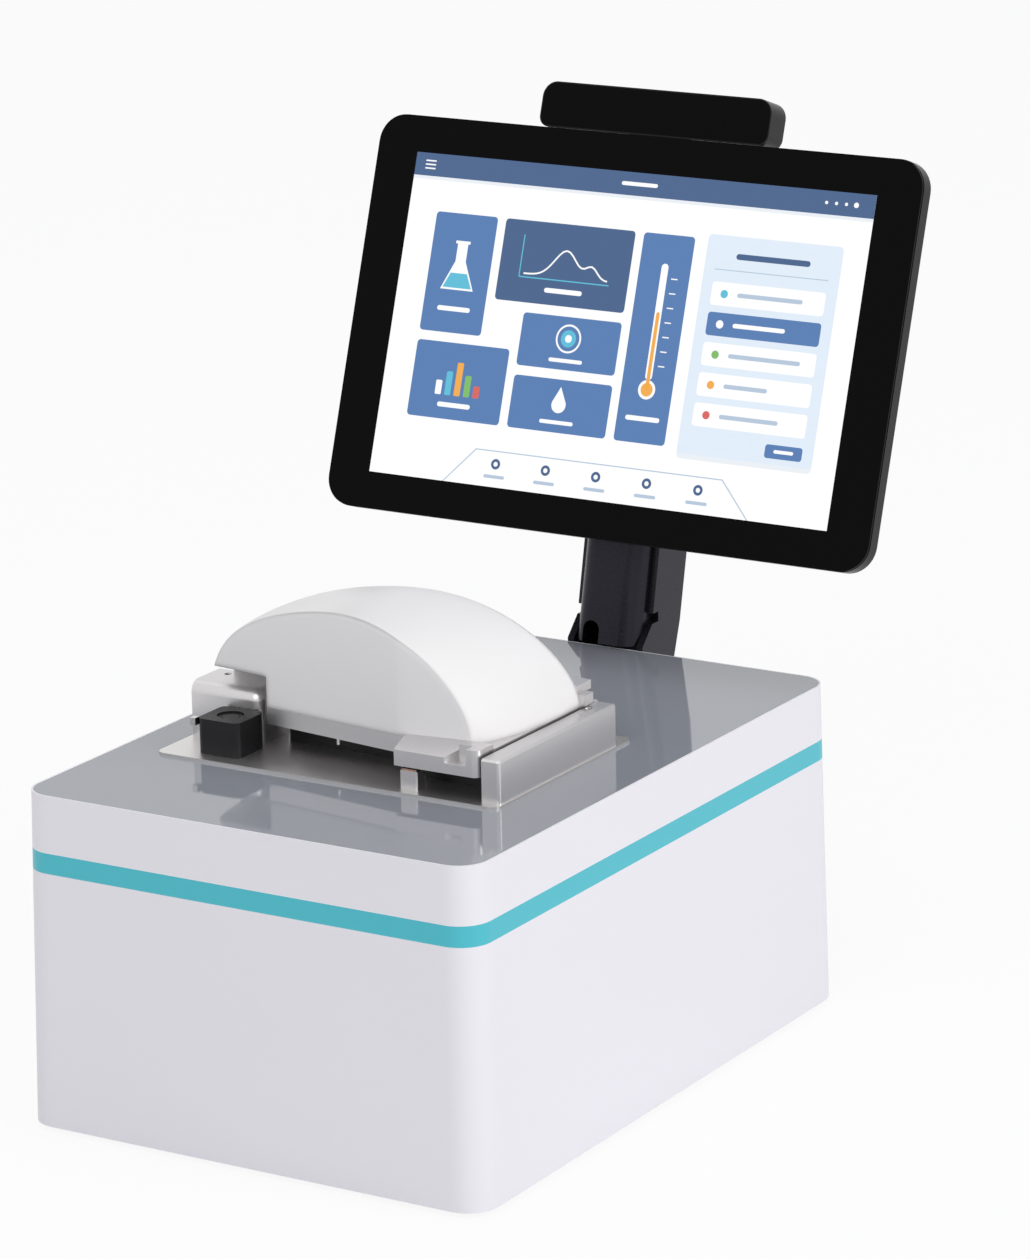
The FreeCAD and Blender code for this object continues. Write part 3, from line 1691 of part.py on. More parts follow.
def facet_outline(left, right, back, inset="0"):
    """Outline of the arm seen from above: two front facets that meet at the prow, then a straight back."""
    left_rise = f"({inset}) / cos(left_facet_turn)"
    right_rise = f"({inset}) / cos(right_facet_turn)"
    prow = f"(prow_across + ({left_rise} - {right_rise}) / ({LEFT_TURN} + {RIGHT_TURN}))"
    return [
        (left, f"prow_front + (prow_across - ({left})) * {LEFT_TURN} + {left_rise}"),
        (prow, f"prow_front + ({prow} - prow_across) * {RIGHT_TURN} + {right_rise}"),
        (right, f"prow_front + (({right}) - prow_across) * {RIGHT_TURN} + {right_rise}"),
        (right, back),
        (left, back),
    ]


def ridge_round(solid, radius):
    front = amount_of("prow_front")
    across = amount_of("prow_across")
    return solid.round(UP, radius, lambda point: abs(point.x - across) < 3 and point.y < front + 5)


def arm_base():
    strip = Solid("arm_strip")
    corners = facet_outline("cover_notch_right", "rail_left - arm_side_gap", "cover_back")
    strip.pad(strip.outline("XY", ARM_LOW, corners), "arm_base_thickness")
    ridge_round(strip, "ridge_radius")
    bores = arm_screw_rods("base_bore", "arm_screw_radius + bolt_clearance")
    return node(cut("arm_base", strip.body, *bores), "arm_base")


ARM_SCREWS = (
    ("arm_screw_left", "arm_screw_front"),
    ("arm_screw_right", "arm_screw_front"),
    ("arm_screw_left", "arm_screw_back"),
    ("arm_screw_right", "arm_screw_back"),
)


def arm_screw_rods(label, radius):
    return [
        rod(
            f"{label}_{number}",
            (across, back, f"{ARM_LOW} - overcut"),
            radius,
            "arm_base_thickness + cover_floor + overcut - arm_screw_rest + bolt_clearance",
        )
        for number, (across, back) in enumerate(ARM_SCREWS)
    ]


def arm_screws():
    screws = []
    for number, (across, back) in enumerate(ARM_SCREWS):
        low = (across, back, f"{ARM_LOW} - arm_screw_head")
        head = hexagon(f"arm_screw_head_{number}", low, "arm_screw_head_radius", "arm_screw_head")
        shank = rod(
            f"arm_screw_shank_{number}",
            low,
            "arm_screw_radius",
            "arm_screw_head + arm_base_thickness + cover_floor - arm_screw_rest",
        )
        screws.append(fuse(f"arm_screw_{number}", head, shank))
    return node(group("arm_screws", *screws), "arm_screws")


def arch_solid(label, inset):
    """Hood surface: four arch sections, each a rounded curve over the arm, joined smoothly front to back."""
    left = (2 / SIZES["arch_left_side_power"], 2 / SIZES["arch_left_crown_power"])
    right = (2 / SIZES["arch_right_side_power"], 2 / SIZES["arch_right_crown_power"])
    middle = amount_of("arch_middle")
    base = amount_of(ARM_TOP)
    wires = []
    for name in ("arch_front", "arch_second", "arch_third", "arch_back"):
        back = amount_of(name)
        half_width = amount_of(f"{name}_width - ({inset})")
        rise = amount_of(f"{name}_rise - ({inset})")
        points = []
        for step in range(ARCH_STEPS + 1):
            angle = math.pi * step / ARCH_STEPS
            side_power, crown_power = left if 2 * step < ARCH_STEPS else right
            across = math.copysign(abs(math.cos(angle)) ** side_power, math.cos(angle))
            up = abs(math.sin(angle)) ** crown_power
            points.append(FreeCAD.Vector(middle - half_width * across, back, base + rise * up))
        curve = Part.BSplineCurve()
        curve.interpolate(Points=points)
        wires.append(Part.Wire([curve.toShape(), Part.LineSegment(points[-1], points[0]).toShape()]))
    item = document.addObject("Part::Feature", label)
    item.Shape = Part.makeLoft(wires, True, False)
    return item


ARCH_STEPS = 12
COVER_LEFT = "arch_middle - arch_third_width - cover_spare"
COVER_RIGHT = "arch_middle + arch_third_width + cover_spare"


def cover_skin():
    prism = Solid("cover_prism")
    outline = facet_outline(COVER_LEFT, COVER_RIGHT, "cover_back")
    prism.pad(prism.outline("XY", f"{ARM_TOP} - overcut", outline), "arch_front_rise + cover_spare")
    ridge_round(prism, "ridge_radius")
    hood = common("cover_hood", arch_solid("cover_arch", "0"), prism.body)
    return hood


def notch_box(label, grow):
    return box(
        label,
        (f"{COVER_LEFT} - overcut", "prow_front - cover_spare", f"{ARM_TOP} - overcut"),
        (f"cover_notch_right + {grow}", f"cover_notch_back + {grow}", f"{ARM_TOP} + cover_notch_height + {grow}"),
    )


def arm_cover():
    inner = Solid("cover_inner_prism")
    outline = facet_outline(COVER_LEFT, COVER_RIGHT, "cover_back - cover_wall", "cover_wall")
    inner.pad(inner.outline("XY", f"{ARM_TOP} + cover_floor", outline), "arch_front_rise + cover_spare")
    hollow = common("cover_hollow", arch_solid("cover_inner_arch", "cover_wall"), inner.body)
    hollow = cut("cover_hollow_notched", hollow, notch_box("cover_notch_wall", "cover_wall"))
    window = box(
        "cover_window",
        ("cover_window_left", "cover_window_front", f"{ARM_TOP} - overcut"),
        ("cover_window_right", "cover_window_back", f"{ARM_TOP} + cover_floor + overcut"),
    )
    bores = arm_screw_rods("cover_bore", "arm_screw_radius + bolt_clearance")
    item = cut("arm_cover", cover_skin(), notch_box("cover_notch", "0"), hollow, window, *bores)
    return node(item, "arm_cover")


HANDLE_LOW = f"({PLATE_TOP} + handle_rise)"
HANDLE_TOP = f"({HANDLE_LOW} + handle_height)"


def lift_handle():
    bar = Solid("handle_bar")
    outline = [
        ("handle_left", "handle_front"),
        ("handle_right", "handle_front"),
        facet_at("handle_right"),
        facet_at("handle_left"),
    ]
    bar.pad(bar.outline("XY", HANDLE_LOW, outline), "handle_height")
    front = amount_of("handle_front")
    side = amount_of("handle_right")
    bar.round(UP, "handle_corner", lambda point: abs(point.y - front) < 0.1 and abs(point.x - side) < 0.1)
    wedge = Solid("handle_wedge")
    slope = "(handle_slope_drop / handle_slope_run)"
    wedge.pad(
        wedge.outline(
            "YZ",
            "handle_left - overcut",
            [
                ("handle_front - overcut", f"{HANDLE_TOP} - handle_slope_drop - overcut * {slope}"),
                ("handle_front + handle_slope_run", HANDLE_TOP),
                ("handle_front + handle_slope_run", f"{HANDLE_TOP} + overcut"),
                ("handle_front - overcut", f"{HANDLE_TOP} + overcut"),
            ],
        ),
        "handle_slope_right - handle_left + overcut",
    )
    notch = Solid("handle_notch")
    lean = "((handle_slope_right - handle_notch_left) / handle_notch_depth)"
    notch.pad(
        notch.outline(
            "XY",
            f"{HANDLE_TOP} - handle_notch_drop",
            [
                (f"handle_notch_left - overcut * {lean}", "handle_front - overcut"),
                ("handle_notch_right", "handle_front - overcut"),
                ("handle_notch_right", "handle_front + handle_notch_depth"),
                ("handle_slope_right", "handle_front + handle_notch_depth"),
            ],
        ),
        "handle_notch_drop + overcut",
    )
    return node(cut("lift_handle", bar.body, wedge.body, notch.body), "lift_handle")


def facet_at(across):
    return (across, f"prow_front + (({across}) - prow_across) * {RIGHT_TURN}")


def upper_block():
    """Carrier of the upper pedestals, and a small stop pin; both hang from the arm's base."""
    low = f"{PEDESTAL_TOP} + sample_gap + upper_pedestal_standout"
    block = box(
        "upper_pedestal_bar",
        ("pedestal_block_left + upper_block_inset", "pedestal_line - upper_block_half_depth", low),
        ("post_left - upper_block_gap", "pedestal_line + upper_block_half_depth", ARM_LOW),
    )
    pin = rod(
        "stop_pin",
        ("stop_pin_across", "stop_pin_back", f"{ARM_LOW} - stop_pin_length"),
        "stop_pin_radius",
        "stop_pin_length",
    )
    return node(group("upper_block", block, pin), "upper_block")


def upper_pedestals():
    low = f"{PEDESTAL_TOP} + sample_gap"
    pads = pedestal_bores("upper_pedestal", low, f"{low} + upper_pedestal_standout", "pedestal_radius")
    return node(group("upper_pedestals", *pads), "upper_pedestals")


def neck_front(level):
    """Front edge of the neck at a height, on the line that leans back."""
    return f"(neck_front_place + (({level}) - neck_reference) * tan(neck_lean))"


PIVOT_BACK = "(display_middle + tilt_axis_back * cos(display_tilt) + tilt_axis_rise * sin(display_tilt))"
PIVOT_LEVEL = "(display_level - tilt_axis_back * sin(display_tilt) + tilt_axis_rise * cos(display_tilt))"


def neck_bracket():
    foot_back = f"{wall_at('neck_foot_low')} + neck_foot_thickness"
    flare = f"({neck_front('neck_notch_low')} - neck_flare_place)"
    side = [
        (f"{foot_back} - neck_foot_seat", "neck_foot_low + neck_foot_edge"),
        (f"{foot_back} - neck_foot_seat", "neck_foot_high - neck_foot_edge"),
        ("neck_flare_place", "neck_foot_high - neck_foot_edge"),
        ("neck_flare_place", f"neck_notch_low - {flare}"),
        (neck_front("neck_notch_low"), "neck_notch_low"),
        ("neck_front_place + neck_notch_depth", "neck_notch_low"),
        ("neck_front_place + neck_notch_depth", "neck_notch_high"),
        (neck_front("neck_notch_high"), "neck_notch_high"),
        (f"{PIVOT_BACK} - neck_knuckle_radius", f"{PIVOT_LEVEL} - neck_knuckle_drop"),
        (f"{PIVOT_BACK} + neck_knuckle_radius", PIVOT_LEVEL),
        (f"{neck_front('neck_bend_high')} + neck_depth", "neck_bend_high"),
        (f"{neck_front('neck_reference')} + neck_depth", "neck_reference"),
        (f"{foot_back} + neck_back_standout", "neck_back_low"),
    ]
    flanges = []
    for number, left in enumerate(("neck_middle - neck_half_width", "neck_middle + neck_half_width - neck_wall")):
        flange = Solid(f"neck_flange_{number}")
        flange.pad(flange.outline("YZ", left, side), "neck_wall")
        flange.pad(flange.circle("YZ", left, (PIVOT_BACK, PIVOT_LEVEL), "neck_knuckle_radius"), "neck_wall")
        hole = flange.circle("YZ", left, (PIVOT_BACK, PIVOT_LEVEL), "tilt_pin_radius")
        flange.pocket(hole, "neck_wall", reverse=True)
        flanges.append(flange.body)
    foot = Solid("neck_foot")
    foot.pad(
        foot.outline(
            "YZ",
            "neck_middle - neck_foot_half_width",
            [
                (wall_at("neck_foot_low"), "neck_foot_low"),
                (f"{wall_at('neck_foot_low')} + neck_foot_thickness", "neck_foot_low"),
                (f"{wall_at('neck_foot_high')} + neck_foot_thickness", "neck_foot_high"),
                (wall_at("neck_foot_high"), "neck_foot_high"),
            ],
        ),
        "2 * neck_foot_half_width",
    )
    web = Solid("neck_web")
    inner = "neck_depth - neck_wall"
    web.pad(
        web.outline(
            "YZ",
            "neck_middle - neck_half_width + neck_web_inset",
            [
                (f"{foot_back} + neck_back_standout", "neck_back_low"),
                (f"{neck_front('neck_reference')} + neck_depth", "neck_reference"),
                (f"{neck_front('neck_bend_high')} + neck_depth", "neck_bend_high"),
                (f"{neck_front('neck_web_high')} + neck_web_top_depth", "neck_web_high"),
                (f"{neck_front('neck_web_high')} + neck_web_top_depth - neck_wall", "neck_web_high"),
                (f"{neck_front('neck_bend_high')} + {inner}", "neck_bend_high"),
                (f"{neck_front('neck_reference')} + {inner}", "neck_reference"),
                (f"{foot_back} + neck_back_standout - neck_wall", "neck_back_low"),
            ],
        ),
        "2 * (neck_half_width - neck_web_inset)",
    )
    holes = []
    for height in ("neck_foot_low + neck_bolt_edge", "neck_foot_high - neck_bolt_edge"):
        holes += neck_bolt_holes(f"neck_foot_hole_{len(holes)}", height)
    body = fuse("neck_body", foot.body, web.body, *flanges)
    return node(cut("neck_bracket", body, *holes), "neck_bracket")


NECK_BOLTS = (
    (-1, "neck_foot_low + neck_bolt_edge"),
    (1, "neck_foot_low + neck_bolt_edge"),
    (-1, "neck_foot_high - neck_bolt_edge"),
    (1, "neck_foot_high - neck_bolt_edge"),
)


def neck_screws():
    screws = []
    for number, (x_side, level) in enumerate(NECK_BOLTS):
        across = f"neck_middle + {x_side} * (neck_foot_half_width - neck_bolt_inset)"
        face = f"{wall_at('neck_foot_low')} + neck_foot_thickness"
        head = hexagon(f"neck_screw_head_{number}", (across, face, level), "neck_screw_head", "neck_bolt_head", "y")
        shank = rod(
            f"neck_screw_shank_{number}",
            (across, f"{face} - neck_bolt_length", level),
            "neck_screw_radius",
            "neck_bolt_length + neck_bolt_head / 2",
            "y",
        )
        screws.append(fuse(f"neck_screw_{number}", head, shank))
    return node(group("neck_screws", *screws), "neck_screws")


def neck_front_shell():
    """Rounded cover in front of the neck, with an arched cable notch at its foot."""
    low = "neck_shell_low"
    half = "neck_shell_half_width"
    shell = Solid("neck_shell")
    front_low = f"{neck_front(low)} - neck_shell_reach"
    sides = [
        (front_low, low),
        (f"{neck_front('neck_shell_high')} - neck_shell_reach", "neck_shell_high"),
        (f"{neck_front('neck_shell_high')} + neck_shell_cheek", "neck_shell_high"),
        (f"{neck_front(low)} + neck_shell_cheek", low),
    ]
    shell.pad(shell.outline("YZ", f"neck_middle - {half}", sides), f"2 * {half}")
    lean = amount_of("neck_lean")
    along = FreeCAD.Vector(0, math.sin(math.radians(lean)), math.cos(math.radians(lean)))
    edge_level = amount_of("(neck_shell_low + neck_shell_high) / 2")
    edge_back = amount_of(f"{neck_front(edge_level)} - neck_shell_reach")
    shell.round(along, "neck_shell_round", lambda point: abs(point.y - edge_back) < 2)
    under = "neck_shell_low - overcut"
    past = "neck_shell_cheek + overcut"
    hollow = Solid("neck_shell_hollow")
    inner = [
        (f"{neck_front(under)} - neck_shell_reach + neck_shell_wall", under),
        (
            f"{neck_front('neck_shell_high - neck_shell_wall')} - neck_shell_reach + neck_shell_wall",
            "neck_shell_high - neck_shell_wall",
        ),
        (f"{neck_front('neck_shell_high - neck_shell_wall')} + {past}", "neck_shell_high - neck_shell_wall"),
        (f"{neck_front(under)} + {past}", under),
    ]
    hollow.pad(
        hollow.outline("YZ", f"neck_middle - {half} + neck_shell_wall", inner), f"2 * ({half} - neck_shell_wall)"
    )
    hollow_back = amount_of(f"{neck_front(edge_level)} - neck_shell_reach + neck_shell_wall")
    hollow.round(along, "neck_shell_round - neck_shell_wall", lambda point: abs(point.y - hollow_back) < 3)
    notch_top = "neck_shell_low + cable_notch_height - cable_notch_radius"
    notch_front = f"{front_low} - overcut"
    arch = rod(
        "cable_notch_arch",
        ("cable_notch_across", notch_front, notch_top),
        "cable_notch_radius",
        "neck_shell_reach + overcut",
        "y",
    )
    slot = box(
        "cable_notch_slot",
        ("cable_notch_across - cable_notch_radius", notch_front, f"{low} - overcut"),
        ("cable_notch_across + cable_notch_radius", f"{front_low} + neck_shell_reach", notch_top),
    )
    return node(cut("neck_front_shell", shell.body, hollow.body, arch, slot), "neck_front_shell")


def tilt_pin():
    pin = rod(
        "tilt_pin",
        ("neck_middle - neck_half_width", PIVOT_BACK, PIVOT_LEVEL),
        "tilt_pin_radius",
        "2 * neck_half_width",
        "x",
    )
    return node(pin, "tilt_pin")


def lean_back(item):
    """Move a piece drawn in the upright display's own frame to the leaning display."""
    item.Placement = FreeCAD.Placement(FreeCAD.Vector(), FreeCAD.Rotation(ACROSS, -1))
    place(item, ("0", "display_middle", "display_level"))
    bind(item, "Placement.Rotation.Angle", "-display_tilt")
    for axis, amount in zip("xyz", "100"):
        bind(item, f"Placement.Rotation.Axis.{axis}", amount)
    return item


DISPLAY_HALF_WIDTH = "(screen_width / 2 + side_bezel)"
DISPLAY_HALF_HEIGHT = "(screen_height / 2 + top_bezel)"
FRAME_BACK = "(glass_thickness + frame_depth)"
COVER_FACE = f"({FRAME_BACK} + back_depth)"
BULGE_FACE = f"({COVER_FACE} + bulge_depth)"


def slab(label, half_width, low, high, front, depth, radius=None):
    """Upright plate of the display with rounded corners, from its front face backwards."""
    solid = Solid(label)
    solid.pad(solid.outline("XZ", f"-({front})", mirrored(half_width, low, high)), depth, reverse=True)
    if radius:
        solid.round(DEEP, radius)
    return solid


def display_slab(label, inset, front, depth):
    low = f"-({DISPLAY_HALF_HEIGHT} - {inset})"
    return slab(
        label,
        f"{DISPLAY_HALF_WIDTH} - {inset}",
        low,
        f"{DISPLAY_HALF_HEIGHT} - {inset}",
        front,
        depth,
        f"display_corner - {inset}",
    )


def touch_glass():
    glass = display_slab("touch_glass", "glass_inset", "0", "glass_thickness")
    return node(lean_back(glass.body), "touch_glass")


def display_frame():
    outer = display_slab("frame_outer", "0", "glass_thickness", "frame_depth")
    inner = display_slab("frame_inner", "frame_wall", "glass_thickness - overcut", "frame_depth + 2 * overcut")
    return node(lean_back(cut("display_frame", outer.body, inner.body)), "display_frame")


def lcd_panel():
    panel = slab(
        "lcd_panel",
        "screen_width / 2 + lcd_margin",
        "-(screen_height / 2 + lcd_margin)",
        "screen_height / 2 + lcd_margin",
        "glass_thickness",
        "lcd_thickness",
    )
    return node(lean_back(panel.body), "lcd_panel")


def bevelled_back(solid, size, level):
    """Bevel the edges of a plate's rear face."""
    base = solid.body.Tip
    back = amount_of(level)
    names = [
        f"Edge{number}"
        for number, edge in enumerate(base.Shape.Edges, start=1)
        if abs(edge.BoundBox.YMin - back) < 0.01 and abs(edge.BoundBox.YMax - back) < 0.01
    ]
    step = solid.feature("PartDesign::Chamfer")
    step.Base = (base, names)
    bind(step, "Size", size)
    document.recompute()
    return solid.body


def bulge_slab(label, inset, front, depth):
    return slab(
        label,
        f"bulge_half_width - {inset}",
        f"bulge_low + {inset}",
        f"bulge_high - {inset}",
        front,
        depth,
        f"bulge_round - {inset}",
    )


def display_screw_places():
    half_width = f"({DISPLAY_HALF_WIDTH} - display_screw_inset)"
    half_height = f"({DISPLAY_HALF_HEIGHT} - display_screw_inset)"
    return [(f"{x_side} * {half_width}", f"{z_side} * {half_height}") for x_side, z_side in CORNERS]


def display_back_cover():
    plate = display_slab("back_plate", "0", FRAME_BACK, "back_depth")
    plate_body = bevelled_back(plate, "back_edge", COVER_FACE)
    bulge = bulge_slab("back_bulge", "0", f"{COVER_FACE} - bulge_seat", "bulge_depth + bulge_seat")
    bulge_body = bevelled_back(bulge, "bulge_edge", BULGE_FACE)
    outer = fuse("back_outer", plate_body, bulge_body)
    tray = display_slab("back_tray", "back_wall", f"{FRAME_BACK} - overcut", "back_depth - back_wall + overcut")
    chamber = bulge_slab("back_chamber", "back_wall", FRAME_BACK, "back_depth + bulge_depth - back_wall")
    bosses = [
        rod(
            f"back_boss_{number}",
            (across, FRAME_BACK, level),
            "display_boss_radius",
            "back_depth - display_boss_gap",
            "y",
        )
        for number, (across, level) in enumerate(display_screw_places())
    ]
    vents = [
        box(
            f"back_vent_{number}",
            (
                "-vent_length / 2",
                f"{BULGE_FACE} - back_wall - overcut",
                f"bulge_high - vent_drop - {number} * vent_pitch",
            ),
            (
                "vent_length / 2",
                f"{BULGE_FACE} + overcut",
                f"bulge_high - vent_drop - {number} * vent_pitch + vent_width",
            ),
        )
        for number in range(SIZES["vent_count"])
    ]
    holes = [
        rod(
            f"back_screw_hole_{number}",
            (across, f"{FRAME_BACK} - overcut", level),
            "display_screw_radius + bolt_clearance",
            "back_depth + 2 * overcut",
            "y",
        )
        for number, (across, level) in enumerate(display_screw_places())
    ]
    shell = fuse("back_with_bosses", cut("back_shell", outer, tray.body, chamber.body), *bosses)
    return node(lean_back(cut("display_back_cover", shell, *vents, *holes)), "display_back_cover")


def display_screws():
    screws = []
    for number, (across, level) in enumerate(display_screw_places()):
        head = hexagon(
            f"display_screw_head_{number}",
            (across, COVER_FACE, level),
            "display_screw_head_radius",
            "display_screw_head",
            "y",
        )
        shank = rod(
            f"display_screw_shank_{number}",
            (across, FRAME_BACK, level),
            "display_screw_radius",
            "back_depth + display_screw_rest",
            "y",
        )
        screws.append(fuse(f"display_screw_{number}", head, shank))
    return node(lean_back(group("display_screws", *screws)), "display_screws")


def display_board():
    front = f"({COVER_FACE} + display_board_gap)"
    middle = "(bulge_low + bulge_high) / 2"
    sheet_slab = slab(
        "display_board_sheet",
        "display_board_width / 2",
        f"{middle} - display_board_height / 2",
        f"{middle} + display_board_height / 2",
        front,
        "board_thickness",
    )
    standoffs = [
        hexagon(
            f"display_board_standoff_{number}",
            (
                f"{x_side} * (display_board_width / 2 - standoff_inset)",
                front,
                f"{middle} + {z_side} * (display_board_height / 2 - standoff_inset)",
            ),
            "display_standoff_radius",
            f"{BULGE_FACE} - back_wall - {front}",
            "y",
        )
        for number, (x_side, z_side) in enumerate(CORNERS)
    ]
    chip = box(
        "display_board_chip",
        ("-display_chip / 2", f"{front} - display_chip_height", f"{middle} - display_chip / 2"),
        ("display_chip / 2", front, f"{middle} + display_chip / 2"),
    )
    return node(lean_back(fuse("display_board", sheet_slab.body, chip, *standoffs)), "display_board")


def tilt_lugs():
    pivot = ("tilt_axis_back", "tilt_axis_rise")
    lugs = []
    width = "tilt_lug_width"
    for number, left in enumerate(
        (
            "neck_middle - neck_half_width + neck_wall + tilt_side_gap",
            "neck_middle + neck_half_width - neck_wall - tilt_side_gap - tilt_lug_width",
        )
    ):
        lug = Solid(f"tilt_lug_{number}")
        arm = rectangle(
            BULGE_FACE, "tilt_axis_rise - tilt_lug_radius", "tilt_axis_back", "tilt_axis_rise + tilt_lug_radius"
        )
        lug.pad(lug.outline("YZ", left, arm), width)
        lug.pad(lug.circle("YZ", left, pivot, "tilt_lug_radius"), width)
        lug.pocket(lug.circle("YZ", left, pivot, "tilt_pin_radius + hinge_fit"), width, reverse=True)
        lugs.append(lug.body)
    foot = box(
        "tilt_lug_foot",
        (
            "neck_middle - neck_half_width - tilt_foot_spread",
            BULGE_FACE,
            "tilt_axis_rise - tilt_lug_radius - tilt_foot_rim",
        ),
        (
            "neck_middle + neck_half_width + tilt_foot_spread",
            f"{BULGE_FACE} + tilt_foot_thickness",
            "tilt_axis_rise + tilt_lug_radius + tilt_foot_rim",
        ),
    )
    return node(lean_back(fuse("tilt_lugs", foot, *lugs)), "tilt_lugs")


SCANNER_LOW = f"({DISPLAY_HALF_HEIGHT} + scanner_gap)"


def scanner_block(label, inset, front, depth):
    solid = Solid(label)
    low = f"{SCANNER_LOW} + {inset}"
    high = f"{SCANNER_LOW} + scanner_height - {inset}"
    solid.pad(
        solid.outline("XZ", f"-({front})", mirrored(f"scanner_half_width - {inset}", low, high)),
        depth,
        reverse=True,
    )
    level = amount_of(f"{SCANNER_LOW} + scanner_height / 2")
    solid.round(DEEP, f"scanner_round - {inset}", lambda point: point.z > level)
    return solid.round(DEEP, f"scanner_foot_round - {inset}", lambda point: point.z < level)


def scanner_housing():
    skin = scanner_block("scanner_skin", "0", "scanner_front", "scanner_depth")
    front = "scanner_front - overcut"
    recess = scanner_block("scanner_recess", "scanner_window_rim", front, "scanner_window_depth + overcut")
    hollow = scanner_block("scanner_hollow", "scanner_wall", front, "scanner_depth - scanner_wall + overcut")
    return node(lean_back(cut("scanner_housing", skin.body, recess.body, hollow.body)), "scanner_housing")


def scanner_window():
    window = scanner_block(
        "scanner_window", "(scanner_window_rim + seam_gap)", "scanner_front", "scanner_window_depth"
    )
    return node(lean_back(window.body), "scanner_window")


def scanner_board():
    middle = f"{SCANNER_LOW} + scanner_height / 2"
    glass_back = "scanner_front + scanner_window_depth"
    front = f"{glass_back} + scanner_board_back"
    sheet_box = box(
        "scanner_board_sheet",
        ("-scanner_half_width + scanner_board_inset", front, f"{middle} - scanner_board_height / 2"),
        (
            "scanner_half_width - scanner_board_inset",
            f"{front} + scanner_board_thickness",
            f"{middle} + scanner_board_height / 2",
        ),
    )
    lens = rod(
        "scanner_lens",
        ("scanner_lens_across", f"{glass_back} + scanner_lens_gap", middle),
        "scanner_lens_radius",
        "scanner_lens_length",
        "y",
    )
    spacer = box(
        "scanner_spacer",
        ("scanner_spacer_left", front, f"{middle} - scanner_spacer_height / 2"),
        (
            "scanner_spacer_left + scanner_spacer_width",
            "scanner_front + scanner_depth - scanner_wall",
            f"{middle} + scanner_spacer_height / 2",
        ),
    )
    return node(lean_back(fuse("scanner_board", sheet_box, lens, spacer)), "scanner_board")


def scanner_stem():
    stem = box(
        "stem_plate",
        ("-scanner_stem_half_width", COVER_FACE, f"{SCANNER_LOW} - scanner_stem_drop"),
        ("scanner_stem_half_width", f"{COVER_FACE} + scanner_stem_thickness", SCANNER_LOW),
    )
    return node(lean_back(group("scanner_stem_piece", stem)), "scanner_stem")


PIECES = (
    lower_housing,
    accent_band,
    upper_housing,
    top_panel,
    base_plate,
    rubber_feet,
    base_screws,
    rear_panel,
    usb_ports,
    network_port,
    power_jack,
    power_switch_frame,
    power_rocker,
    fan_frame,
    fan_rotor,
    optical_bench,
    bench_posts,
    spectrometer_module,
    xenon_lamp,
    main_board,
    power_board,
    stage_plate,
    right_rail,
    left_block,
    stage_screws,
    tube_port,
    port_plug,
    port_catch,
    rest_post,
    post_pad,
    pedestal_block,
    lower_pedestals,
    path_carriage,
    path_motor,
    path_screw,
    path_guides,
    hinge_brackets,
    hinge_pin,
    arm_base,
    arm_cover,
    arm_lugs,
    arm_screws,
    lift_handle,
    upper_block,
    upper_pedestals,
    neck_bracket,
    neck_screws,
    neck_front_shell,
    tilt_pin,
    touch_glass,
    display_frame,
    lcd_panel,
    display_back_cover,
    display_board,
    display_screws,
    tilt_lugs,
    scanner_housing,
    scanner_window,
    scanner_board,
    scanner_stem,
)

for make in PIECES:
    make()
document.recompute()

for item in document.Objects:
    if "Invalid" in item.State or "Error" in item.State:
        raise ValueError(f"{item.Label} did not build: {item.State}")

os.makedirs("parts", exist_ok=True)
for item in NODES:
    if item.Shape.isNull() or not item.Shape.isValid():
        raise ValueError(f"{item.Label} has no valid shape")
    item.Shape.exportStep(f"parts/{item.Label}.step")
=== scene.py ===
import bpy
import math
from mathutils import Matrix, Vector


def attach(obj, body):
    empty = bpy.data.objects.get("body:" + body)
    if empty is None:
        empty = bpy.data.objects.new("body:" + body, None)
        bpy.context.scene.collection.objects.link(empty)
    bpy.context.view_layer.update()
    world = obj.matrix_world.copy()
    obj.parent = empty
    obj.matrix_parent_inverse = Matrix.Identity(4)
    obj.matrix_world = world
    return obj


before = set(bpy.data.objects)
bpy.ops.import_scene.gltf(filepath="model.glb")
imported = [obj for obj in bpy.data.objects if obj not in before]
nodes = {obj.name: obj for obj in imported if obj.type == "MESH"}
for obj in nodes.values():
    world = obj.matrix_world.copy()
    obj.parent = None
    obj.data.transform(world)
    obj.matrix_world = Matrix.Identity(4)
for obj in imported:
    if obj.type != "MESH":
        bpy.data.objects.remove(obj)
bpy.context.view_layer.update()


def srgb(red, green, blue):
    """Linear colour from the usual 0 to 255 values, by the standard curve."""
    def one(value):
        value = value / 255
        return value / 12.92 if value <= 0.04045 else ((value + 0.055) / 1.055) ** 2.4
    return (one(red), one(green), one(blue), 1)


# Camera: the photograph's perspective, worked out from the instrument's edges
AZIMUTH, ELEVATION, ROLL = math.radians(31.576), math.radians(15.74), math.radians(-1.115)
DISTANCE = 2.13565
LENS, SENSOR, FAR = 152.43, 36, 50
TARGET_ACROSS, TARGET_RISE = 0.031547, 0.169578
FEET_HEIGHT = 0.002
BACK = Vector((
    math.sin(AZIMUTH) * math.cos(ELEVATION),
    -math.cos(AZIMUTH) * math.cos(ELEVATION),
    math.sin(ELEVATION),
))
RIGHT = Vector((math.cos(AZIMUTH), math.sin(AZIMUTH), 0))
UP = BACK.cross(RIGHT)
TARGET = RIGHT * TARGET_ACROSS + UP * TARGET_RISE + Vector((0, 0, FEET_HEIGHT))
right_rolled = RIGHT * math.cos(ROLL) + UP * math.sin(ROLL)
up_rolled = UP * math.cos(ROLL) - RIGHT * math.sin(ROLL)
camera_data = bpy.data.cameras.new("camera")
camera = bpy.data.objects.new("camera", camera_data)
bpy.context.scene.collection.objects.link(camera)
turn = Matrix((right_rolled, up_rolled, BACK)).transposed().to_4x4()
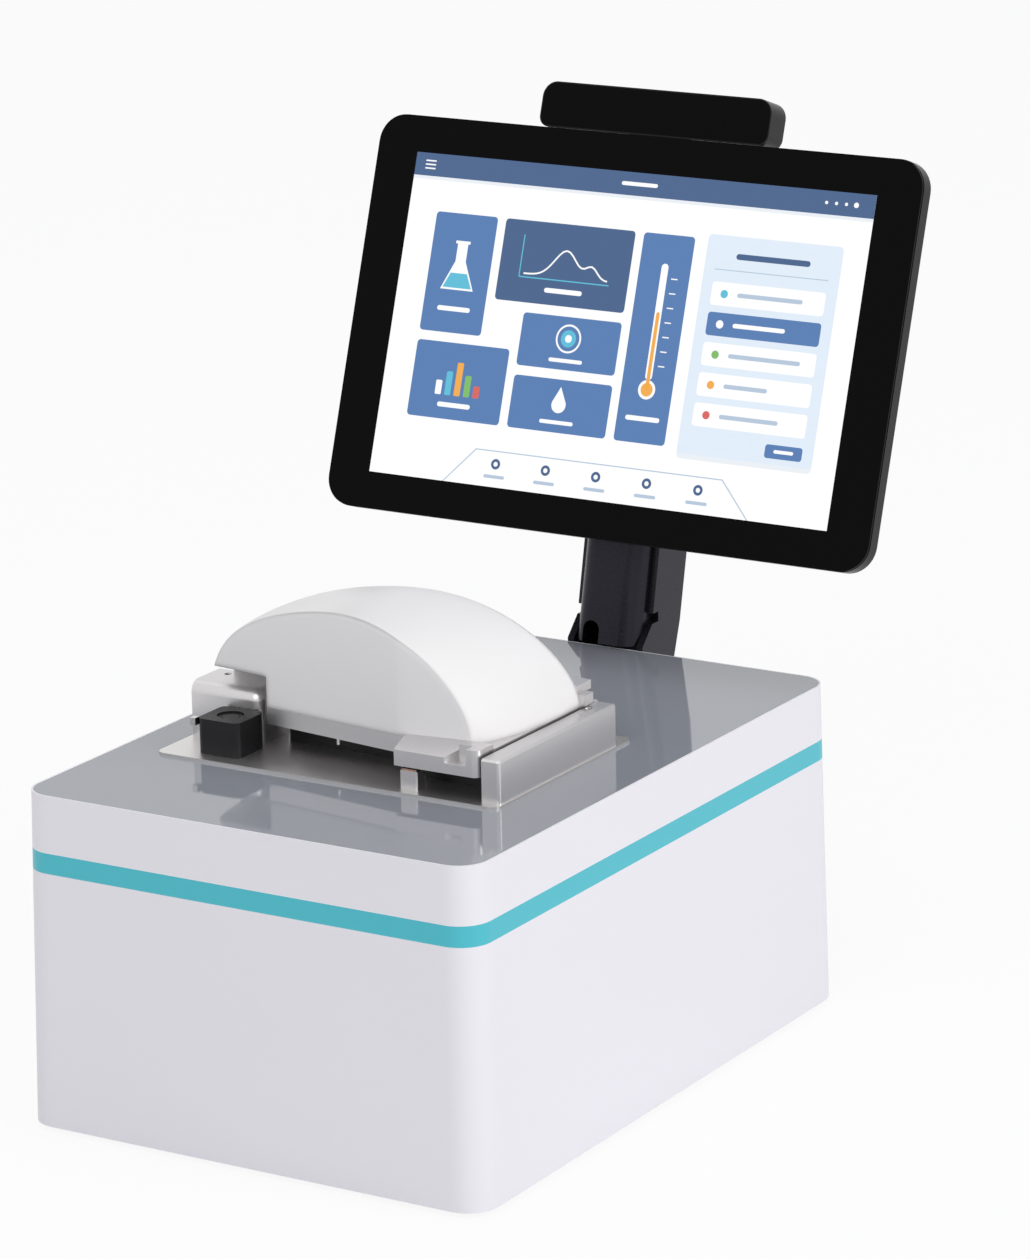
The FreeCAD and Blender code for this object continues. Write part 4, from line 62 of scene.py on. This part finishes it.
camera.matrix_world = Matrix.Translation(TARGET + BACK * DISTANCE) @ turn
camera_data.sensor_width = SENSOR
camera_data.lens = LENS
camera_data.clip_end = FAR
bpy.context.scene.camera = camera
bpy.context.scene.view_settings.view_transform = "Standard"


# Materials
BROAD_SCALE = 14
GRAIN_LOW, GRAIN_HIGH = 0.3, 0.7
SMOOTHEST = 0.01


def new_material(name):
    material = bpy.data.materials.new(name)
    material.use_nodes = True
    tree = material.node_tree
    return material, tree, tree.nodes["Principled BSDF"]


def add(tree, kind, **values):
    """New node: a value goes to the property of that name, or else to the input of that name."""
    item = tree.nodes.new(kind)
    for key, value in values.items():
        if hasattr(item, key):
            setattr(item, key, value)
        else:
            item.inputs[key.replace("_", " ")].default_value = value
    return item


def shaded(colour, factor):
    return tuple(min(1, part * factor) for part in colour[:3]) + (1,)


def finish_of(name, colour, rough, grain, depth, shade, metallic=0, spread=0.06, brushed=(1, 1, 1), specular=0.5,
              soft_edge=0):
    """Painted, moulded or metal surface: broad drift in the colour, fine grain in the roughness and the height.

    Grain is the number of grains to a metre, drawn out along one axis where the metal is brushed. Depth is the
    height of the grain, and soft_edge the radius at which the edges are shaded round, both in metres.
    """
    material, tree, shader = new_material(name)
    shader.inputs["Metallic"].default_value = metallic
    shader.inputs["Specular IOR Level"].default_value = specular
    place = add(tree, "ShaderNodeTexCoord")
    stretch = add(tree, "ShaderNodeMapping")
    stretch.inputs["Scale"].default_value = brushed
    tree.links.new(place.outputs["Object"], stretch.inputs["Vector"])
    fine = add(tree, "ShaderNodeTexNoise", Scale=grain, Detail=3, Roughness=0.6)
    broad = add(tree, "ShaderNodeTexNoise", Scale=BROAD_SCALE, Detail=2, Roughness=0.5)
    tree.links.new(stretch.outputs["Vector"], fine.inputs["Vector"])
    tree.links.new(place.outputs["Object"], broad.inputs["Vector"])
    tint = add(tree, "ShaderNodeMix", data_type="RGBA")
    tint.inputs["A"].default_value = shaded(colour, 1 - shade)
    tint.inputs["B"].default_value = shaded(colour, 1 + shade)
    tree.links.new(broad.outputs["Fac"], tint.inputs["Factor"])
    tree.links.new(tint.outputs["Result"], shader.inputs["Base Color"])
    polish = add(tree, "ShaderNodeMapRange", From_Min=GRAIN_LOW, From_Max=GRAIN_HIGH,
                 To_Min=max(SMOOTHEST, rough - spread), To_Max=rough + spread)
    tree.links.new(fine.outputs["Fac"], polish.inputs["Value"])
    tree.links.new(polish.outputs["Result"], shader.inputs["Roughness"])
    bump = add(tree, "ShaderNodeBump", Strength=0.5, Distance=depth)
    tree.links.new(fine.outputs["Fac"], bump.inputs["Height"])
    tree.links.new(bump.outputs["Normal"], shader.inputs["Normal"])
    if soft_edge:
        rounding = add(tree, "ShaderNodeBevel", Radius=soft_edge)
        rounding.samples = 8
        tree.links.new(rounding.outputs["Normal"], bump.inputs["Normal"])
    return material


housing_paint = finish_of("housing_paint", srgb(236, 234, 240), rough=0.45, grain=1600, depth=0.00001, shade=0.01)
accent_paint = finish_of("accent_paint", srgb(72, 190, 204), rough=0.36, grain=1400, depth=0.00001, shade=0.02)
panel_gloss = finish_of("panel_gloss", srgb(146, 150, 158), rough=0.05, grain=60, depth=0.000001, shade=0.02,
                        spread=0.01)
cover_gloss = finish_of("cover_gloss", srgb(240, 238, 238), rough=0.4, grain=1200, depth=0.000006, shade=0.01,
                        specular=0.25, soft_edge=0.004)
satin_metal = finish_of("satin_metal", srgb(210, 208, 209), rough=0.34, grain=260, depth=0.000003, shade=0.03,
                        metallic=1, spread=0.03, brushed=(1, 14, 14))
plate_metal = finish_of("plate_metal", srgb(214, 212, 211), rough=0.36, grain=240, depth=0.000002, shade=0.03,
                        metallic=1, spread=0.03, brushed=(1, 16, 1))
steel = finish_of("steel", srgb(170, 170, 172), rough=0.3, grain=300, depth=0.000003, shade=0.04, metallic=1,
                  brushed=(12, 1, 12))
bright_metal = finish_of("bright_metal", srgb(214, 212, 210), rough=0.14, grain=500, depth=0.000002, shade=0.03,
                         metallic=1)
black_moulded = finish_of("black_moulded", srgb(30, 30, 32), rough=0.42, grain=1900, depth=0.00002, shade=0.06,
                          specular=0.25)
black_frame = finish_of("black_frame", srgb(11, 10, 12), rough=0.32, grain=1500, depth=0.00001, shade=0.05,
                        specular=0.2)
black_gloss = finish_of("black_gloss", srgb(3, 3, 4), rough=0.06, grain=40, depth=0.000001, shade=0.02, spread=0.01,
                        specular=0.06)
neck_metal = finish_of("neck_metal", srgb(46, 45, 52), rough=0.3, grain=420, depth=0.000003, shade=0.05,
                       metallic=0.8, spread=0.05, brushed=(1, 1, 5), specular=0.2)
copper = finish_of("copper", srgb(186, 152, 134), rough=0.25, grain=300, depth=0.000003, shade=0.05, metallic=1)
rubber = finish_of("rubber", srgb(34, 34, 35), rough=0.75, grain=1700, depth=0.00003, shade=0.05)
board_green = finish_of("board_green", srgb(24, 92, 56), rough=0.35, grain=700, depth=0.00001, shade=0.08)

# Material of each node and the width of its bevelled edges in metres
EDGE_ANGLE = math.radians(32)
EDGE_SEGMENTS = 3
DRESS = {
    "lower_housing": (housing_paint, 0.0008),
    "upper_housing": (housing_paint, 0.0005),
    "accent_band": (accent_paint, 0.0002),
    "top_panel": (panel_gloss, 0.0002),
    "base_plate": (steel, 0.0002),
    "rubber_feet": (rubber, 0.0006),
    "rear_panel": (steel, 0.0002),
    "power_jack": (black_moulded, 0.0002),
    "power_switch_frame": (black_moulded, 0.0004),
    "power_rocker": (black_gloss, 0.0005),
    "fan_frame": (black_moulded, 0.0003),
    "fan_rotor": (black_moulded, 0.0001),
    "usb_ports": (bright_metal, 0.0001),
    "network_port": (bright_metal, 0.0001),
    "optical_bench": (satin_metal, 0.0003),
    "bench_posts": (steel, 0.0002),
    "spectrometer_module": (black_moulded, 0.0004),
    "xenon_lamp": (satin_metal, 0.0004),
    "main_board": (board_green, 0),
    "power_board": (board_green, 0),
    "display_board": (board_green, 0),
    "scanner_board": (board_green, 0),
    "stage_plate": (plate_metal, 0.00015),
    "right_rail": (satin_metal, 0.00035),
    "left_block": (satin_metal, 0.00035),
    "stage_screws": (bright_metal, 0.0001),
    "tube_port": (black_moulded, 0.0004),
    "port_plug": (black_moulded, 0.0002),
    "port_catch": (bright_metal, 0.0003),
    "rest_post": (satin_metal, 0.0003),
    "post_pad": (copper, 0.0001),
    # Pedestal block: black moulded plastic, but its dark face under the handle also serves as painted shade for the
    # shadowed gap there
    "pedestal_block": (black_moulded, 0.0003),
    "lower_pedestals": (bright_metal, 0.0001),
    "upper_pedestals": (bright_metal, 0.0001),
    "upper_block": (satin_metal, 0.0002),
    "path_carriage": (satin_metal, 0.0003),
    "path_motor": (black_moulded, 0.0003),
    "path_screw": (steel, 0.0001),
    "path_guides": (steel, 0.0001),
    "hinge_brackets": (satin_metal, 0.0003),
    "hinge_pin": (steel, 0.0001),
    "arm_base": (satin_metal, 0.0003),
    "arm_cover": (cover_gloss, 0.0004),
    "arm_lugs": (satin_metal, 0.0003),
    "lift_handle": (satin_metal, 0.0003),
    "neck_bracket": (neck_metal, 0.0004),
    "neck_front_shell": (neck_metal, 0.0004),
    "neck_screws": (bright_metal, 0.0002),
    "arm_screws": (bright_metal, 0.0002),
    "base_screws": (bright_metal, 0.0002),
    "display_screws": (bright_metal, 0.0001),
    "tilt_pin": (steel, 0.0002),
    "tilt_lugs": (neck_metal, 0.0003),
    "touch_glass": (black_gloss, 0.0003),
    "display_frame": (black_frame, 0.0005),
    "display_back_cover": (black_frame, 0.0003),
    "lcd_panel": (black_gloss, 0),
    "scanner_housing": (black_frame, 0.0005),
    "scanner_window": (black_gloss, 0.0002),
    "scanner_stem": (black_frame, 0.0003),
}
for name, (material, edge) in DRESS.items():
    piece = nodes[name]
    piece.data.materials.clear()
    piece.data.materials.append(material)
    piece.data.polygons.foreach_set("use_smooth", [True] * len(piece.data.polygons))
    if edge:
        bevel = piece.modifiers.new("edge", "BEVEL")
        bevel.width = edge
        bevel.segments = EDGE_SEGMENTS
        bevel.limit_method = "ANGLE"
        bevel.angle_limit = EDGE_ANGLE
        bevel.harden_normals = True
        bevel.use_clamp_overlap = True
        bevel.miter_outer = "MITER_ARC"

# Screen: a plain start page of a laboratory instrument, drawn as flat coloured shapes on the display
TILT = math.radians(18.8)
SCREEN_MIDDLE = (0, 0.1444, 0.2672)
SCREEN = Matrix.Translation(SCREEN_MIDDLE) @ Matrix.Rotation(-TILT, 4, "X")
HALF_WIDTH, HALF_HEIGHT = 0.10848, 0.0678
FIRST_LAYER, LAYER_STEP = 0.00006, 0.00002
PAGE_WIDTH, PAGE_HEIGHT, HEADER_HEIGHT = 217, 135.6, 9.6
CORNER_STEPS = 6
CORNER_TURN = 18


def glow(name, colour):
    """Lit colour of the display, with a faint unevenness."""
    material, tree, shader = new_material(name)
    shader.inputs["Base Color"].default_value = (0.01, 0.01, 0.01, 1)
    shader.inputs["Roughness"].default_value = 0.12
    shader.inputs["Emission Strength"].default_value = 1
    grid = add(tree, "ShaderNodeTexNoise", Scale=30, Detail=1)
    tint = add(tree, "ShaderNodeMix", data_type="RGBA")
    tint.inputs["A"].default_value = colour
    tint.inputs["B"].default_value = shaded(colour, 0.97)
    tree.links.new(grid.outputs["Fac"], tint.inputs["Factor"])
    tree.links.new(tint.outputs["Result"], shader.inputs["Emission Color"])
    return material


INKS = {
    "white": glow("screen_white", srgb(252, 252, 253)),
    "header": glow("screen_header", srgb(58, 90, 135)),
    "deep": glow("screen_deep", srgb(54, 88, 133)),
    "tile": glow("screen_tile", srgb(74, 118, 175)),
    "pale": glow("screen_pale", srgb(222, 234, 246)),
    "line": glow("screen_line", srgb(178, 196, 216)),
    "shadow": glow("screen_shadow", srgb(232, 237, 243)),
    "aqua": glow("screen_aqua", srgb(84, 186, 214)),
    "amber": glow("screen_amber", srgb(240, 168, 62)),
    "red": glow("screen_red", srgb(214, 92, 84)),
    "green": glow("screen_green", srgb(120, 184, 96)),
}


class Drawing:
    """Flat shapes on the display; x and y run from the screen's left top corner, in millimetres."""

    def __init__(self):
        self.points, self.faces, self.inks = [], [], []

    def polygon(self, ink, layer, corners):
        start = len(self.points)
        for x, y in corners:
            place = Vector((x / 1000 - HALF_WIDTH, -FIRST_LAYER - LAYER_STEP * layer, HALF_HEIGHT - y / 1000))
            self.points.append(SCREEN @ place)
        self.faces.append(list(range(start + len(corners) - 1, start - 1, -1)))
        self.inks.append(list(INKS).index(ink))

    def card(self, ink, layer, left, top, width, height, radius=1.6):
        corners = []
        for middle_x, middle_y, first in (
            (left + width - radius, top + radius, -90),
            (left + width - radius, top + height - radius, 0),
            (left + radius, top + height - radius, 90),
            (left + radius, top + radius, 180),
        ):
            for step in range(CORNER_STEPS):
                angle = math.radians(first + step * CORNER_TURN)
                corners.append((middle_x + radius * math.cos(angle), middle_y + radius * math.sin(angle)))
        self.polygon(ink, layer, corners)

    def disc(self, ink, layer, x, y, radius, sides=28):
        self.polygon(ink, layer, [
            (x + radius * math.cos(2 * math.pi * k / sides), y + radius * math.sin(2 * math.pi * k / sides))
            for k in range(sides)
        ])

    def stroke(self, ink, layer, start, end, width):
        across = Vector((start[1] - end[1], end[0] - start[0])).normalized() * width / 2
        self.polygon(ink, layer, [
            (start[0] + across.x, start[1] + across.y),
            (end[0] + across.x, end[1] + across.y),
            (end[0] - across.x, end[1] - across.y),
            (start[0] - across.x, start[1] - across.y),
        ])

    def strip(self, ink, layer, top, bottom):
        self.polygon(ink, layer, [(0, top), (PAGE_WIDTH, top), (PAGE_WIDTH, bottom), (0, bottom)])

    def make(self, name):
        mesh = bpy.data.meshes.new(name)
        mesh.from_pydata(self.points, [], self.faces)
        for material in INKS.values():
            mesh.materials.append(material)
        mesh.polygons.foreach_set("material_index", self.inks)
        piece = bpy.data.objects.new(name, mesh)
        bpy.context.scene.collection.objects.link(piece)
        return piece


page = Drawing()
page.strip("white", 0, 0, PAGE_HEIGHT)
page.strip("shadow", 1, 9, 11)
page.strip("header", 2, 0, HEADER_HEIGHT)
for row in range(3):
    page.stroke("white", 3, (5, 3.2 + row * 1.6), (10, 3.2 + row * 1.6), 0.6)
page.card("white", 3, 100, 4, 17, 1.6, 0.8)
for step in range(4):
    page.disc("white", 3, 195 + step * 4.5, 4.8, 1.1 if step == 3 else 0.7)
# Tiles: two on the left, three in the middle and a tall one beside them, then a pale panel with a list
page.card("tile", 1, 14, 24, 30, 50)
page.card("deep", 1, 48, 24, 62, 34)
page.card("tile", 1, 14, 78, 45, 32)
page.card("tile", 1, 63, 62, 47, 22)
page.card("tile", 1, 63, 88, 47, 22)
page.card("tile", 1, 114, 24, 24, 86)
page.card("shadow", 1, 144, 23, 62, 91, 2)
page.card("pale", 2, 144, 22, 62, 90, 2)
# Flask
page.polygon("white", 2, [(26.5, 36), (31.5, 36), (31.5, 44), (37, 56), (21, 56), (26.5, 44)])
page.polygon("aqua", 3, [(25, 49), (33, 49), (36, 55.2), (22, 55.2)])
page.stroke("white", 3, (25.5, 36), (32.5, 36), 1.2)
page.card("white", 2, 21, 63, 16, 2, 1)


def bell(step, middle, spread, height):
    return height * math.exp(-((step - middle) / spread) ** 2)


# Curve with a high peak and a low one, on two axes
curve = [(60 + step * 1.6, 46 - bell(step, 12, 4.5, 11) - bell(step, 20, 2.5, 5)) for step in range(26)]
for start, end in zip(curve, curve[1:]):
    page.stroke("white", 2, start, end, 0.7)
page.stroke("aqua", 2, (58, 47.5), (101, 47.5), 0.5)
page.stroke("aqua", 2, (58, 30), (58, 47.5), 0.5)
page.card("white", 2, 71, 51, 18, 2, 1)
# Column chart
for step, (height, ink) in enumerate(((6, "white"), (10, "aqua"), (14, "amber"), (9, "green"), (5, "red"))):
    page.card(ink, 2, 26 + step * 4.6, 100 - height, 3, height, 0.6)
page.card("white", 2, 28, 103, 16, 2, 1)
# Rings
for radius, ink, layer in ((6, "white", 2), (5.2, "tile", 3), (3.6, "aqua", 4), (1.6, "white", 5)):
    page.disc(ink, layer, 86, 71, radius)
page.card("white", 2, 78, 79.4, 16, 1.6, 0.8)
# Drop
page.disc("white", 2, 86, 98.5, 3.4)
page.polygon("white", 2, [(83, 97), (86, 91), (89, 97)])
page.card("white", 2, 78, 105, 16, 1.6, 0.8)
# Thermometer with its scale
page.card("white", 2, 124.4, 36, 3.2, 48, 1.6)
page.disc("white", 2, 126, 88, 4)
page.disc("amber", 3, 126, 88, 2.8)
page.card("amber", 3, 125.2, 56, 1.6, 32, 0.8)
for step in range(7):
    page.stroke("white", 2, (129.6, 42 + step * 6), (132.6, 42 + step * 6), 0.5)
page.card("white", 2, 118, 99, 16, 2, 1)
# List in the pale panel, its second row chosen
LIST_ROWS = (
    ("white", "aqua", "line", 30),
    ("tile", "white", "white", 24),
    ("white", "green", "line", 33),
    ("white", "amber", "line", 20),
    ("white", "red", "line", 27),
)
page.card("deep", 3, 158, 29, 34, 2.4, 1.2)
page.stroke("line", 3, (149, 36), (201, 36), 0.4)
for row, (ground, dot, bar, length) in enumerate(LIST_ROWS):
    top = 41 + row * 12.4
    page.card(ground, 3, 149, top, 52, 9.6, 1.4)
    page.disc(dot, 4, 155, top + 4.8, 1.7)
    page.card(bar, 4, 161, top + 3.9, length, 1.8, 0.9)
page.card("tile", 3, 184, 104, 17, 5.6, 1.2)
page.card("white", 4, 188, 106, 9, 1.4, 0.7)
# Bottom bar with five round buttons
page.polygon("line", 1, [(36, PAGE_HEIGHT), (50, 120.4), (167, 120.4), (181, PAGE_HEIGHT)])
page.polygon("white", 2, [(36.7, PAGE_HEIGHT), (50.3, 120.9), (166.7, 120.9), (180.3, PAGE_HEIGHT)])
for step in range(5):
    x = 60.5 + step * 24
    page.disc("deep", 3, x, 126, 2.2)
    page.disc("white", 4, x, 126, 1)
    page.card("line", 3, x - 5, 130.6, 10, 1.4, 0.7)
screen = page.make("screen_page")
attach(screen, "display")

# Floor, world and lamps
FLOOR_SIZE = 12
FLOOR_WHITENESS = 0.9
WORLD_LEVEL = 0.5


def seen_rays(tree, path):
    """One for the rays that look at a thing: from the camera, mirrored or passed through."""
    glossy = add(tree, "ShaderNodeMath", operation="MAXIMUM")
    tree.links.new(path.outputs["Is Camera Ray"], glossy.inputs[0])
    tree.links.new(path.outputs["Is Glossy Ray"], glossy.inputs[1])
    through = add(tree, "ShaderNodeMath", operation="MAXIMUM")
    tree.links.new(glossy.outputs["Value"], through.inputs[0])
    tree.links.new(path.outputs["Is Transmission Ray"], through.inputs[1])
    return through.outputs["Value"]


bpy.ops.mesh.primitive_plane_add(size=FLOOR_SIZE, location=(0, 0, 0))
floor = bpy.context.object
floor.name = "floor"
floor_material, tree, shader = new_material("floor_pale")
shader.inputs["Base Color"].default_value = (0.86, 0.86, 0.87, 1)
shader.inputs["Roughness"].default_value = 0.6
white = add(tree, "ShaderNodeEmission", Strength=1)
white.inputs["Color"].default_value = (1, 1, 1, 1)
path = add(tree, "ShaderNodeLightPath")
seen = add(tree, "ShaderNodeMath", operation="MULTIPLY")
seen.inputs[1].default_value = FLOOR_WHITENESS
mix = add(tree, "ShaderNodeMixShader")
tree.links.new(seen_rays(tree, path), seen.inputs[0])
tree.links.new(seen.outputs["Value"], mix.inputs["Fac"])
tree.links.new(shader.outputs["BSDF"], mix.inputs[1])
tree.links.new(white.outputs["Emission"], mix.inputs[2])
tree.links.new(mix.outputs["Shader"], tree.nodes["Material Output"].inputs["Surface"])
floor.data.materials.append(floor_material)

world = bpy.context.scene.world or bpy.data.worlds.new("studio")
bpy.context.scene.world = world
world.use_nodes = True
tree = world.node_tree
tree.nodes.clear()
output = add(tree, "ShaderNodeOutputWorld")
background = add(tree, "ShaderNodeBackground", Strength=WORLD_LEVEL)
background.inputs["Color"].default_value = (0.97, 0.98, 1, 1)
clear = add(tree, "ShaderNodeBackground", Strength=1)
clear.inputs["Color"].default_value = (1, 1, 1, 1)
path = add(tree, "ShaderNodeLightPath")
mix = add(tree, "ShaderNodeMixShader")
tree.links.new(seen_rays(tree, path), mix.inputs["Fac"])
tree.links.new(background.outputs["Background"], mix.inputs[1])
tree.links.new(clear.outputs["Background"], mix.inputs[2])
tree.links.new(mix.outputs["Shader"], output.inputs["Surface"])


# Name, place, width and height in metres, and power in watts of each lamp
LAMP_AIM = Vector((0, 0, 0.15))
LAMPS = (
    ("key_right", Vector((2.2, 0.1, 1.3)), (1.2, 1.6), 22),
    ("fill_front", Vector((0.5, -2.4, 1.9)), (1.6, 1.2), 18),
    ("top", Vector((-0.2, 0.2, 2.4)), (1.6, 1.6), 8),
)
for name, place, size, power in LAMPS:
    light = bpy.data.lights.new(name, "AREA")
    light.shape = "RECTANGLE"
    light.size, light.size_y = size
    light.energy = power
    lamp = bpy.data.objects.new(name, light)
    bpy.context.scene.collection.objects.link(lamp)
    lamp.location = place
    lamp.rotation_euler = (LAMP_AIM - place).to_track_quat("-Z", "Y").to_euler()
